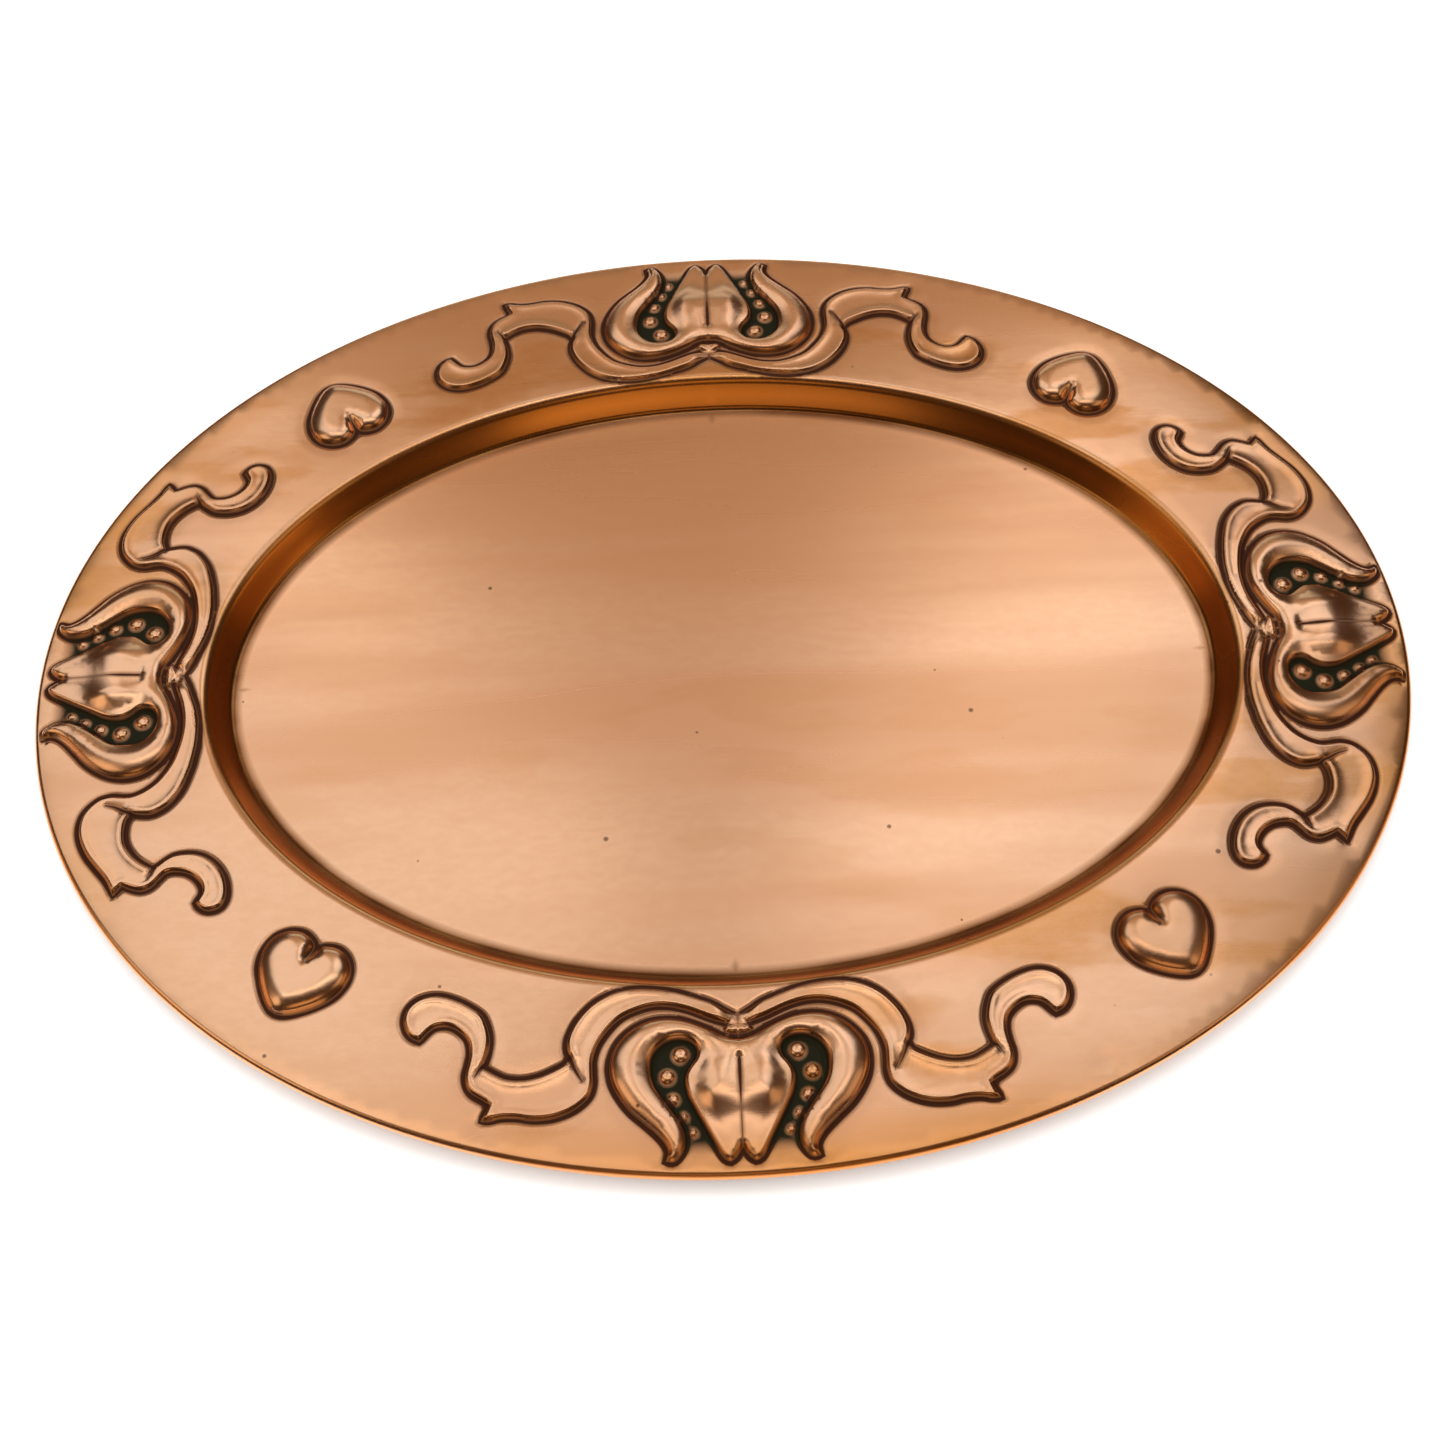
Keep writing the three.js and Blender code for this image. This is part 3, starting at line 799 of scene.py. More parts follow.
class SheetFace:
    """One face of the sheet in the first quarter: a plan mesh with heights.

    Near is how far from the ornament the points stay close together. The shade pairs are
    distances from the wall's foot, from its shoulder and from the edge, over which the
    masks for the dark parts rise or fall.
    """

    segments = 120
    row_height = 0.866
    crowd = 0.62
    floor_crowd = 0.6
    ring_gap = 1.6
    row_clear = 0.9
    row_from_axis = 0.45
    row_from_roll = 0.6
    snap = 1e-4
    near = 7.5
    floor_rings = ((3.0, 1), (7.0, 2))
    wall_shade = ((-1.0, 2.5), (-5.0, -0.5))
    foot_shade = ((-2.5, 0.8), (1.5, 4.0))
    rim_shade = (-24.0, -2.5)
    raised_from = -1.5
    full_from = 1.0
    roll_fade = 2.0

    def __init__(self, sizes: TraySizes, work: RaisedWork, weave: Weave, inset: float) -> None:
        """Sets the face up: inset 0 is the upper face, more is the underside."""
        self.sizes = sizes
        self.work = work
        self.weave = weave
        self.inset = inset
        self.bends = Bends.of(sizes, 0.0 if inset == 0.0 else sizes.sheet)

    def ring(self, rail: Oval, out: float) -> np.ndarray:
        """A quarter ring of points at a distance from a rail."""
        points = rail.at(np.linspace(0.0, math.pi / 2, self.segments + 1), out)
        points[0, 1] = 0.0
        points[-1, 0] = 0.0
        return points

    def axis_line(self, marks: Sequence[float], far: float) -> np.ndarray:
        """Distances along a mirror axis, close enough together and through every mark."""
        stops = sorted({0.0, far, *(m for m in marks if 0.0 < m < far)})
        steps = []
        for low, high in zip(stops, stops[1:]):
            if high - low < 1e-6:
                continue
            room = self.weave.floor if high < self.floor_end(far) else self.weave.along * 1.2
            steps += list(np.linspace(low, high, max(1, round((high - low) / room)) + 1)[:-1])
        return np.array([*steps, far])

    def floor_end(self, far: float) -> float:
        """Where the flat floor ends on the axis that reaches out to far."""
        on_length = far > self.sizes.half_width
        rail = self.sizes.well
        return (rail.half_length if on_length else rail.half_width) + self.bends.foot_out + 0.01

    def plan(self) -> PlanPoints:
        """Lays out every point and kept edge of the quarter."""
        sizes, weave = self.sizes, self.weave
        bag = PlanPoints()
        stations = self.bends.stations(weave.foot_steps, weave.shoulder_steps)
        rings = [self.ring(sizes.well, out) for out in stations]
        outer = self.ring(sizes.edge, -sizes.roll_radius)
        creases = self.work.creases(weave.along)
        for line in creases:
            line[np.abs(line) < self.snap] = 0.0
        lines = [*rings, outer, *creases]
        for axis, far in ((1, outer[0, 0]), (0, outer[-1, 1])):
            ends = [point for line in lines for point in (line[0], line[-1])]
            marks = [float(point[1 - axis]) for point in ends if point[axis] == 0.0]
            steps = self.axis_line(marks, float(far))
            points = np.zeros((len(steps), 2))
            points[:, 1 - axis] = steps
            bag.add_line(points)
        for line in lines:
            bag.add_line(line)
        self.add_rows(bag, creases)
        self.add_fill(bag, creases)
        return bag

    def add_rows(self, bag: PlanPoints, creases: list[np.ndarray]) -> None:
        """Adds rows of points beside the creases, where the relief bends most."""
        for row in self.weave.rows:
            for line in creases:
                leg = np.gradient(line, axis=0)
                side = np.stack([-leg[:, 1], leg[:, 0]], axis=1)
                side /= np.linalg.norm(side, axis=1)[:, None] + 1e-9
                moved = line + row * side
                gap, _ = distance_to(moved, line)
                _, out = self.sizes.edge.locate(moved)
                keep = gap > self.row_clear * abs(row)
                keep &= (moved > self.row_from_axis * self.weave.along).all(1)
                keep &= out < -self.sizes.roll_radius - self.row_from_roll
                bag.scatter(moved[keep], self.crowd * min(self.weave.along, abs(row) + 0.5))

    def lattice(self, step: float) -> np.ndarray:
        """Evenly spread points over the whole quarter, every other row moved half a step."""
        rail = self.sizes.edge
        columns = np.arange(step / 2, rail.half_length, step)
        rows = np.arange(step / 2, rail.half_width, step * self.row_height)
        x, y = np.meshgrid(columns, rows)
        x = x + (np.arange(len(y)) % 2)[:, None] * step / 2
        return np.stack([x.ravel(), y.ravel()], axis=1)

    def by_ornament(self, points: np.ndarray, creases: list[np.ndarray], far: float) -> np.ndarray:
        """The points that are within a distance of a crease."""
        everything = np.vstack(creases)
        away = np.empty(len(points))
        for low in range(0, len(points), CHUNK):
            part = points[low : low + CHUNK, None, :] - everything
            away[low : low + CHUNK] = np.sqrt((part**2).sum(2)).min(1)
        return points[away < far]

    def add_fill(self, bag: PlanPoints, creases: list[np.ndarray]) -> None:
        """Fills the rest: close together on and by the ornament, wider apart elsewhere."""
        weave, sizes = self.weave, self.sizes
        for step, test in ((weave.fill, True), (weave.plain, False)):
            points = self.lattice(step)
            _, edge_out = sizes.edge.locate(points)
            _, well_out = sizes.well.locate(points)
            on_flange = edge_out < -sizes.roll_radius - step * 0.5
            on_flange &= well_out > self.bends.shoulder_out + step * 0.5
            points = points[on_flange]
            if test:
                points = self.by_ornament(points, creases, self.near + step)
            bag.scatter(points, step * self.crowd)
        points = self.lattice(weave.floor)
        _, well_out = sizes.well.locate(points)
        on_floor = well_out < self.bends.foot_out - 1.5
        bag.scatter(points[on_floor], weave.floor * self.floor_crowd)
        for back, every in self.floor_rings:
            ring = self.ring(sizes.well, self.bends.foot_out - back)
            bag.scatter(ring[1:-1:every], self.ring_gap)

    def build(self) -> tuple[np.ndarray, Relief, list[list[int]]]:
        """Makes the quarter of the face.

        Returns:
            Its points in space, the relief at them, and its triangles.
        """
        flat, faces = self.plan().triangulate()
        _, well_out = self.sizes.well.locate(flat)
        _, edge_out = self.sizes.edge.locate(flat)
        foot, shoulder = self.bends.foot_out, self.bends.shoulder_out
        relief = self.work.relief(flat, self.inset)
        raised = well_out > shoulder + self.raised_from
        relief.height = np.where(raised, relief.height, 0.0)
        (low, high), (start, end) = self.wall_shade
        relief.wall = ramp(well_out, foot + low, foot + high)
        relief.wall *= fall(well_out, shoulder + start, shoulder + end)
        (low, high), (start, end) = self.foot_shade
        relief.foot = ramp(well_out, foot + low, foot + high)
        relief.foot *= fall(well_out, foot + start, foot + end)
        relief.rim = ramp(edge_out, *self.rim_shade)
        roll = self.sizes.roll_radius
        free = ramp(well_out, shoulder + self.raised_from, shoulder + self.full_from)
        free_of_roll = ramp(-edge_out, roll, roll + self.roll_fade)
        z = self.bends.height(well_out) + relief.height * free * free_of_roll
        return np.column_stack([flat, z]), relief, faces


@dataclass
class Wear:
    """Slow unevenness from years of use, the same on both faces of the sheet."""

    sizes: TraySizes
    flange_wave: float = 0.16
    floor_wave: float = 0.14
    waves: Sequence[tuple[float, float, float]] = (
        (0.021, 0.031, 0.4), (-0.034, 0.017, 1.9), (0.052, -0.044, 3.1), (0.013, 0.061, 5.0),
    )
    edge_free: Point = (6.0, 22.0)
    flange_free: Point = (6.0, 18.0)
    floor_free: Point = (-40.0, -13.0)
    dent: Point = (143.0, -196.0)
    dent_depth: float = 0.6
    dent_spread: float = 4.5
    dent_free: Point = (5.0, 8.0)

    def lift(self, plan: np.ndarray) -> np.ndarray:
        """How far the sheet is moved up at plan points, in any quarter."""
        x, y = plan[:, 0], plan[:, 1]
        wave = sum(np.sin(a * x + b * y + c) for a, b, c in self.waves) / len(self.waves)
        _, edge_out = self.sizes.edge.locate(plan)
        _, well_out = self.sizes.well.locate(plan)
        on_flange = ramp(well_out, *self.flange_free) * ramp(-edge_out, *self.edge_free)
        on_floor = fall(well_out, *self.floor_free)
        away = np.hypot(x - self.dent[0], y - self.dent[1])
        dent = self.dent_depth * np.exp(-((away / self.dent_spread) ** 2))
        dent *= ramp(-edge_out, *self.dent_free)
        flange = on_flange * self.flange_wave * wave
        return flange - dent + on_floor * self.floor_wave * (1.0 + wave)


@dataclass
class TraySheet:
    """The copper sheet: floor, wall, flange, raised work and rolled edge in one skin."""

    sizes: TraySizes
    upper: Weave = Weave(
        rows=(-0.85, 0.85, -1.9, 1.9, 0.45, -0.45, 3.2, -3.2),
        along=1.35, fill=2.2, plain=5.2, floor=7.5, foot_steps=5, shoulder_steps=6,
    )
    lower: Weave = Weave(
        rows=(1.2, -1.2, 2.6, -2.6),
        along=2.6, fill=4.0, plain=7.0, floor=12.0, foot_steps=3, shoulder_steps=3,
    )
    lower_inset: float = 1.0
    carried: tuple[str, ...] = ("line", "pocket", "wall", "foot", "rim", "height")
    roll_steps: int = 16
    lip_steps: int = 3
    lip_bulge: float = 0.35
    mirror_weld: float = 0.002
    roll_weld: float = 0.01

    def quarter(self, work: RaisedWork, weave: Weave, inset: float) -> BMesh:
        """Builds one face's quarter and mirrors it round to the whole oval."""
        points, relief, faces = SheetFace(self.sizes, work, weave, inset).build()
        mesh = bmesh.new()
        layers = [mesh.verts.layers.float.new(name) for name in self.carried]
        for row, *values in zip(points, *(getattr(relief, name) for name in self.carried)):
            vert = mesh.verts.new(row)
            for layer, value in zip(layers, values):
                vert[layer] = float(value)
        mesh.verts.ensure_lookup_table()
        for face in faces:
            mesh.faces.new([mesh.verts[i] for i in face])
        for axis in ("X", "Y"):
            whole = [*mesh.verts, *mesh.edges, *mesh.faces]
            bmesh.ops.mirror(mesh, geom=whole, axis=axis, merge_dist=self.mirror_weld)
        return mesh

    def wear(self, mesh: BMesh) -> None:
        """Moves every point by the sheet's slow unevenness."""
        plan = np.array([vert.co[:2] for vert in mesh.verts])
        for vert, lift in zip(mesh.verts, Wear(self.sizes).lift(plan)):
            vert.co.z += lift

    def roll_stations(self) -> list[Point]:
        """The roll's section: radii and degrees, out round its lip and back inside it."""
        sizes, steps = self.sizes, self.roll_steps
        outer, inner = sizes.roll_radius, sizes.roll_radius - sizes.sheet
        middle = (outer + inner) / 2
        tip = 90 - sizes.roll_turn
        stations = [(outer, 90 - sizes.roll_turn * i / steps) for i in range(1, steps + 1)]
        for i in range(1, self.lip_steps):
            turn = math.pi * i / self.lip_steps
            past = math.degrees(self.lip_bulge / middle) * math.sin(turn)
            stations.append((middle + sizes.sheet / 2 * math.cos(turn), tip - past))
        return stations + [(inner, tip + sizes.roll_turn * i / steps) for i in range(steps + 1)]

    def roll_edge(self, mesh: BMesh) -> None:
        """Extrudes the upper face's edge round the wire and back under the flange."""
        sizes = self.sizes
        centre_z = sizes.flange_top - sizes.roll_radius
        edges = [edge for edge in mesh.edges if edge.is_boundary]
        line = mesh.verts.layers.float["line"]
        for radius, degrees in self.roll_stations():
            made = bmesh.ops.extrude_edge_only(mesh, edges=edges)["geom"]
            edges = [item for item in made if isinstance(item, bmesh.types.BMEdge)]
            verts = [item for item in made if isinstance(item, bmesh.types.BMVert)]
            angle, _ = sizes.edge.locate(np.array([vert.co[:2] for vert in verts]))
            turn = math.radians(degrees)
            plan = sizes.edge.at(angle, -sizes.roll_radius + radius * math.cos(turn))
            for vert, (x, y) in zip(verts, plan):
                vert.co = (x, y, centre_z + radius * math.sin(turn))
                vert[line] = Relief.no_line

    def build(self) -> bpy.types.Object:
        """Makes the whole sheet as one closed skin."""
        work = RaisedWork(self.sizes)
        top = self.quarter(work, self.upper, 0.0)
        self.wear(top)
        LOG.info("upper face: %d points", len(top.verts))
        self.roll_edge(top)
        under = self.quarter(work, self.lower, self.lower_inset)
        self.wear(under)
        LOG.info("underside: %d points", len(under.verts))
        spare = bpy.data.meshes.new("underside")
        under.to_mesh(spare)
        under.free()
        top.from_mesh(spare)
        bpy.data.meshes.remove(spare)
        bmesh.ops.remove_doubles(top, verts=top.verts, dist=self.roll_weld)
        return finish_mesh(top, "copper_sheet_skin")


def finish_mesh(mesh: BMesh, name: str) -> bpy.types.Object:
    """Turns a mesh in millimetres into a smooth-shaded object in metres.

    Args:
        mesh: The closed mesh; it is freed.
        name: The object's name.

    Returns:
        The linked object.
    """
    loose = sum(1 for edge in mesh.edges if not edge.is_manifold)
    bmesh.ops.recalc_face_normals(mesh, faces=mesh.faces)
    bmesh.ops.scale(mesh, vec=(MM, MM, MM), verts=mesh.verts)
    for face in mesh.faces:
        face.smooth = True
    data = bpy.data.meshes.new(name)
    mesh.to_mesh(data)
    LOG.info("%s: %d triangles, %d open edges", name, len(mesh.calc_loop_triangles()), loose)
    mesh.free()
    piece = bpy.data.objects.new(name, data)
    bpy.context.scene.collection.objects.link(piece)
    return piece


@dataclass
class RimWire:
    """The iron wire that the edge is rolled round."""

    sizes: TraySizes
    sides: int = 12
    steps: int = 480
    weld: float = 0.001

    def build(self) -> bpy.types.Object:
        """Spins a round section and lays it on the oval."""
        sizes = self.sizes
        mesh = bmesh.new()
        bmesh.ops.create_circle(mesh, segments=self.sides, radius=sizes.wire_diameter / 2)
        bmesh.ops.rotate(mesh, verts=mesh.verts, matrix=Matrix.Rotation(math.pi / 2, 3, "X"))
        bmesh.ops.translate(mesh, verts=mesh.verts, vec=(sizes.half_length, 0, 0))
        bmesh.ops.spin(
            mesh, geom=[*mesh.verts, *mesh.edges], axis=(0, 0, 1), cent=(0, 0, 0),
            angle=2 * math.pi, steps=self.steps, use_merge=True,
        )
        bmesh.ops.remove_doubles(mesh, verts=mesh.verts, dist=self.weld)
        rest = np.array([vert.co for vert in mesh.verts])
        angle = np.arctan2(rest[:, 1], rest[:, 0])
        out = np.hypot(rest[:, 0], rest[:, 1]) - sizes.half_length
        plan = sizes.edge.at(angle, out - sizes.roll_radius)
        for vert, (x, y), z in zip(mesh.verts, plan, rest[:, 2]):
            vert.co = (x, y, z + sizes.flange_top - sizes.roll_radius)
        return finish_mesh(mesh, "iron_rim_wire")


# ---------------------------------------------------------------- finishes


class Nodes:
    """A small helper that adds and joins shader nodes in one tree."""

    def __init__(self, tree: bpy.types.NodeTree) -> None:
        """Works on one node tree."""
        self.tree = tree

    def add(self, kind: str, **settings: object) -> bpy.types.Node:
        """Adds a node; settings that are node properties are set on it."""
        node = self.tree.nodes.new(kind)
        for name, value in settings.items():
            setattr(node, name, value)
        return node

    def put(self, socket: Socket, value: object) -> None:
        """Joins a socket to another node's output, or sets its value."""
        if isinstance(value, Socket):
            self.tree.links.new(value, socket)
        else:
            socket.default_value = value

    def math(self, operation: str, first: object, second: object) -> Socket:
        """One step of arithmetic."""
        node = self.add("ShaderNodeMath", operation=operation)
        self.put(node.inputs[0], first)
        self.put(node.inputs[1], second)
        return node.outputs[0]

    def times(self, first: object, second: object) -> Socket:
        """Two values multiplied."""
        return self.math("MULTIPLY", first, second)

    def span(self, value: object, low: float, high: float, start: float = 0.0,
             end: float = 1.0) -> Socket:
        """Maps a value smoothly from the range low to high to the range start to end."""
        node = self.add("ShaderNodeMapRange", interpolation_type="SMOOTHSTEP")
        for index, item in enumerate((value, low, high, start, end)):
            self.put(node.inputs[index], item)
        return node.outputs[0]

    def mix(self, share: object, first: object, second: object) -> Socket:
        """Mixes two colours."""
        node = self.add("ShaderNodeMix", data_type="RGBA")
        self.put(node.inputs[0], share)
        self.put(node.inputs[6], first)
        self.put(node.inputs[7], second)
        return node.outputs[2]

    def coats(self, colour: object, coats: Sequence[tuple[object, object]]) -> Socket:
        """Lays coats over a colour one after the other, each given as its share and colour."""
        for share, tint in coats:
            colour = self.mix(share, colour, tint)
        return colour

    def bump(self, height: object, strength: float, distance: float) -> Socket:
        """A normal moved by a height; the distance is in metres."""
        node = self.add("ShaderNodeBump")
        self.put(node.inputs["Height"], height)
        self.put(node.inputs["Strength"], strength)
        self.put(node.inputs["Distance"], distance)
        return node.outputs[0]

    def noise(self, place: object, scale: object, detail: float, rough: float) -> Socket:
        """A noise value at a place."""
        node = self.add("ShaderNodeTexNoise")
        self.put(node.inputs["Vector"], place)
        self.put(node.inputs["Scale"], scale)
        self.put(node.inputs["Detail"], detail)
        self.put(node.inputs["Roughness"], rough)
        return node.outputs["Fac"]

    def stretch(self, place: object, scale: Sequence[float], turn: float = 0.0) -> Socket:
        """Scales and turns a pattern's place."""
        node = self.add("ShaderNodeMapping")
        self.put(node.inputs["Vector"], place)
        node.inputs["Scale"].default_value = scale
        node.inputs["Rotation"].default_value = (0.0, 0.0, turn)
        return node.outputs["Vector"]

    def attribute(self, name: str) -> Socket:
        """A value carried by the piece's own points."""
        return self.add("ShaderNodeAttribute", attribute_name=name).outputs["Fac"]

    def place(self) -> Socket:
        """The piece's own coordinates."""
        return self.add("ShaderNodeTexCoord").outputs["Object"]


class Effect:
    """A shader effect shared by several finishes, as one node group built once."""

    name = "effect"
    inputs: Sequence[tuple[str, float]] = ()
    outputs: Sequence[str] = ("Mask",)

    def group(self) -> bpy.types.NodeTree:
        """The node group, made the first time it is asked for."""
        found = bpy.data.node_groups.get(self.name)
        if found:
            return found
        tree = bpy.data.node_groups.new(self.name, "ShaderNodeTree")
        tree.interface.new_socket("Place", in_out="INPUT", socket_type="NodeSocketVector")
        for name, value in self.inputs:
            socket = tree.interface.new_socket(name, in_out="INPUT", socket_type="NodeSocketFloat")
            socket.default_value = value
        for name in self.outputs:
            tree.interface.new_socket(name, in_out="OUTPUT", socket_type="NodeSocketFloat")
        nodes = Nodes(tree)
        given = nodes.add("NodeGroupInput")
        result = nodes.add("NodeGroupOutput")
        for name, value in zip(self.outputs, self.draw(nodes, given)):
            nodes.put(result.inputs[name], value)
        return tree

    def draw(self, nodes: Nodes, given: bpy.types.Node) -> Sequence[Socket]:
        """Draws the effect and returns its output values in order."""
        raise NotImplementedError

    def use(self, nodes: Nodes, place: object, **values: float) -> list[Socket]:
        """Places the group in a material with its own values."""
        node = nodes.add("ShaderNodeGroup", node_tree=self.group())
        nodes.put(node.inputs["Place"], place)
        for name, value in values.items():
            nodes.put(node.inputs[name.capitalize()], value)
        return [node.outputs[name] for name in self.outputs]


class PolishLines(Effect):
    """Fine lines left by polishing lengthways."""

    name = "polish_lines"
    inputs = (("Scale", 1.0),)
    outputs = ("Lines", "Bands")

    def draw(self, nodes: Nodes, given: bpy.types.Node) -> Sequence[Socket]:
        """Noise drawn out lengthways: fine scratches, and wide faint bands."""
        place, scale = given.outputs["Place"], given.outputs["Scale"]
        fine = nodes.noise(nodes.stretch(place, (14.0, 1500.0, 300.0)), scale, 2.0, 0.55)
        broad = nodes.noise(nodes.stretch(place, (5.0, 260.0, 60.0), 0.02), scale, 3.0, 0.55)
        bands = nodes.noise(nodes.stretch(place, (1.8, 15.0, 9.0), -0.05), scale, 3.0, 0.55)
        lines = nodes.math("ADD", nodes.times(fine, 0.6), nodes.times(broad, 0.4))
        return [lines, nodes.span(bands, 0.25, 0.75)]


class TarnishClouds(Effect):
    """Soft clouds of tarnish, large and small."""

    name = "tarnish_clouds"
    inputs = (("Scale", 1.0),)
    outputs = ("Large", "Small", "Grain")

    def draw(self, nodes: Nodes, given: bpy.types.Node) -> Sequence[Socket]:
        """Three noises, each drawn out to a clear mask."""
        place, scale = given.outputs["Place"], given.outputs["Scale"]
        large = nodes.noise(nodes.stretch(place, (2.6, 9.0, 9.0), 0.05), scale, 2.0, 0.45)
        small = nodes.noise(nodes.stretch(place, (14.0, 40.0, 40.0)), scale, 4.0, 0.5)
        grain = nodes.noise(nodes.stretch(place, (160.0, 300.0, 300.0)), scale, 4.0, 0.7)
        limits = ((large, 0.3, 0.72), (small, 0.3, 0.75), (grain, 0.3, 0.7))
        return [nodes.span(*limit) for limit in limits]


class Specks(Effect):
    """Small dark pits, scattered thinly."""

    name = "specks"
    inputs = (("Scale", 75.0), ("Amount", 0.16))

    def draw(self, nodes: Nodes, given: bpy.types.Node) -> Sequence[Socket]:
        """Round cells, of which only a few are kept."""
        cells = nodes.add("ShaderNodeTexVoronoi", feature="F1")
        nodes.put(cells.inputs["Vector"], given.outputs["Place"])
        nodes.put(cells.inputs["Scale"], given.outputs["Scale"])
        pick = nodes.add("ShaderNodeSeparateColor")
        nodes.put(pick.inputs[0], cells.outputs["Color"])
        kept = nodes.math("LESS_THAN", pick.outputs[0], given.outputs["Amount"])
        size = nodes.span(pick.outputs[1], 0.0, 1.0, 0.03, 0.11)
        dot = nodes.math("SUBTRACT", 1.0, nodes.math("DIVIDE", cells.outputs["Distance"], size))
        return [nodes.times(nodes.span(dot, 0.0, 0.5), kept)]


def new_material(name: str) -> tuple[bpy.types.Material, Nodes, bpy.types.Node]:
    """Makes a material and returns it with its nodes and its main shader."""
    material = bpy.data.materials.new(name)
    material.use_nodes = True
    shader = next(n for n in material.node_tree.nodes if n.type == "BSDF_PRINCIPLED")
    return material, Nodes(material.node_tree), shader


@dataclass(frozen=True)
class CopperFinish:
    """Satin copper with brown patina in its chased lines, a painted reflection and shade on the
    well's wall, a painted shadow at its foot and a painted highlight on the raised work.
    """

    bright: Colour = (0.94, 0.475, 0.25, 1.0)
    warm: Colour = (0.86, 0.39, 0.185, 1.0)
    orange: Colour = (0.72, 0.27, 0.07, 1.0)
    reflected_amber: Colour = (0.85, 0.31, 0.05, 1.0)
    brown: Colour = (0.16, 0.045, 0.012, 1.0)
    patina: Colour = (0.045, 0.012, 0.004, 1.0)
    ground: Colour = (0.014, 0.012, 0.004, 1.0)
    roughness: float = 0.26
    band_roughness: float = 0.03
    dull_roughness: float = 0.25
    dull_metal: float = 0.5
    specular: float = 0.12
    bump: Point = (0.07, 0.0002)

    def material(self) -> bpy.types.Material:
        """Builds the finish."""
        material, nodes, shader = new_material("satin_copper")
        place = nodes.place()
        lines, bands = PolishLines().use(nodes, place)
        large, small, grain = TarnishClouds().use(nodes, place)
        (specks,) = Specks().use(nodes, place)
        line, pocket, rise = (nodes.attribute(name) for name in ("line", "pocket", "height"))
        wall, foot, rim = (nodes.attribute(name) for name in ("wall", "foot", "rim"))
        ragged = nodes.math("ADD", line, nodes.span(small, 0.0, 1.0, -0.2, 0.2))
        in_line = nodes.span(ragged, -0.4, 0.4, 1.0, 0.0)
        # painted shade on the well's wall, broken up by tarnish clouds
        wall_shade_and_tarnish = nodes.times(wall, nodes.span(large, 0.1, 0.9, 0.0, 0.45))
        # painted shadow in the corner at the wall's foot, a little uneven
        foot_shadow = nodes.times(foot, nodes.span(small, 0.0, 1.0, 0.7, 1.0))
        # the flange turns deeper orange, in clouds, towards the rolled edge
        rim_tint = nodes.times(rim, nodes.span(large, 0.2, 0.9, 0.15, 0.7))
        colour = nodes.coats(self.plain_copper(nodes, place, bands, large, small), (
            (nodes.span(grain, 0.0, 1.0, 0.0, 0.3), self.warm),
            # painted highlight: raised work is painted lighter the higher it stands
            (nodes.span(rise, 0.8, 3.0, 0.0, 0.5), self.bright),
            (nodes.span(ragged, 0.0, 1.6, 0.55, 0.0), self.brown),
            # painted reflection: the wall is painted amber for the copper that it mirrors
            (nodes.times(wall, 0.85), self.reflected_amber),
            (wall_shade_and_tarnish, self.brown),
            (foot_shadow, self.brown),
            (rim_tint, self.orange),
            (in_line, self.patina),
            (pocket, self.ground),
            (nodes.times(specks, 0.7), self.patina),
        ))
        nodes.put(shader.inputs["Base Color"], colour)
        dull = nodes.math("MAXIMUM", in_line, pocket)
        nodes.put(shader.inputs["Metallic"], nodes.span(dull, 0.0, 1.0, 1.0, self.dull_metal))
        shader.inputs["Specular IOR Level"].default_value = self.specular
        low, high = self.roughness - self.band_roughness, self.roughness + self.band_roughness
        rough = nodes.span(bands, 0.0, 1.0, low, high)
        rough = nodes.math("ADD", rough, nodes.times(dull, self.dull_roughness))
        nodes.put(shader.inputs["Roughness"], rough)
        relief = nodes.bump(nodes.math("SUBTRACT", lines, specks), *self.bump)
        nodes.put(shader.inputs["Normal"], relief)
        return material

    def plain_copper(self, nodes: Nodes, place: object, bands: object, large: object,
                     small: object) -> Socket:
        """The polished metal's colour, banded on the floor and stained on the flange."""
        height = nodes.add("ShaderNodeSeparateXYZ")
        nodes.put(height.inputs[0], place)
        on_flange = nodes.span(height.outputs[2], 0.012, 0.0145)
        colour = nodes.mix(nodes.span(bands, 0.15, 0.85, 0.0, 1.0), self.bright, self.warm)
        stain = nodes.span(nodes.times(large, small), 0.26, 0.55, 0.0, 0.7)
        share = nodes.times(stain, nodes.span(on_flange, 0.0, 1.0, 0.25, 1.0))
        return nodes.mix(share, colour, self.orange)


@dataclass(frozen=True)
class IronFinish:
    """Dull drawn iron wire with a little rust."""

    iron: Colour = (0.16, 0.145, 0.13, 1.0)
    rust: Colour = (0.15, 0.055, 0.02, 1.0)
    metal: Point = (0.95, 0.5)
    roughness: Point = (0.45, 0.75)
    bump: Point = (0.2, 0.0001)

    def material(self) -> bpy.types.Material:
        """Builds the finish."""
        material, nodes, shader = new_material("drawn_iron")
        place = nodes.place()
        _, small, _ = TarnishClouds().use(nodes, place, scale=3.0)
        (specks,) = Specks().use(nodes, place, scale=400.0, amount=0.3)
        colour = nodes.mix(nodes.times(small, 0.8), self.iron, self.rust)
        nodes.put(shader.inputs["Base Color"], colour)
        nodes.put(shader.inputs["Metallic"], nodes.span(small, 0.0, 1.0, *self.metal))
        nodes.put(shader.inputs["Roughness"], nodes.span(small, 0.0, 1.0, *self.roughness))
        relief = nodes.bump(nodes.math("SUBTRACT", small, specks), *self.bump)
        nodes.put(shader.inputs["Normal"], relief)
        return material


# ---------------------------------------------------------------- studio


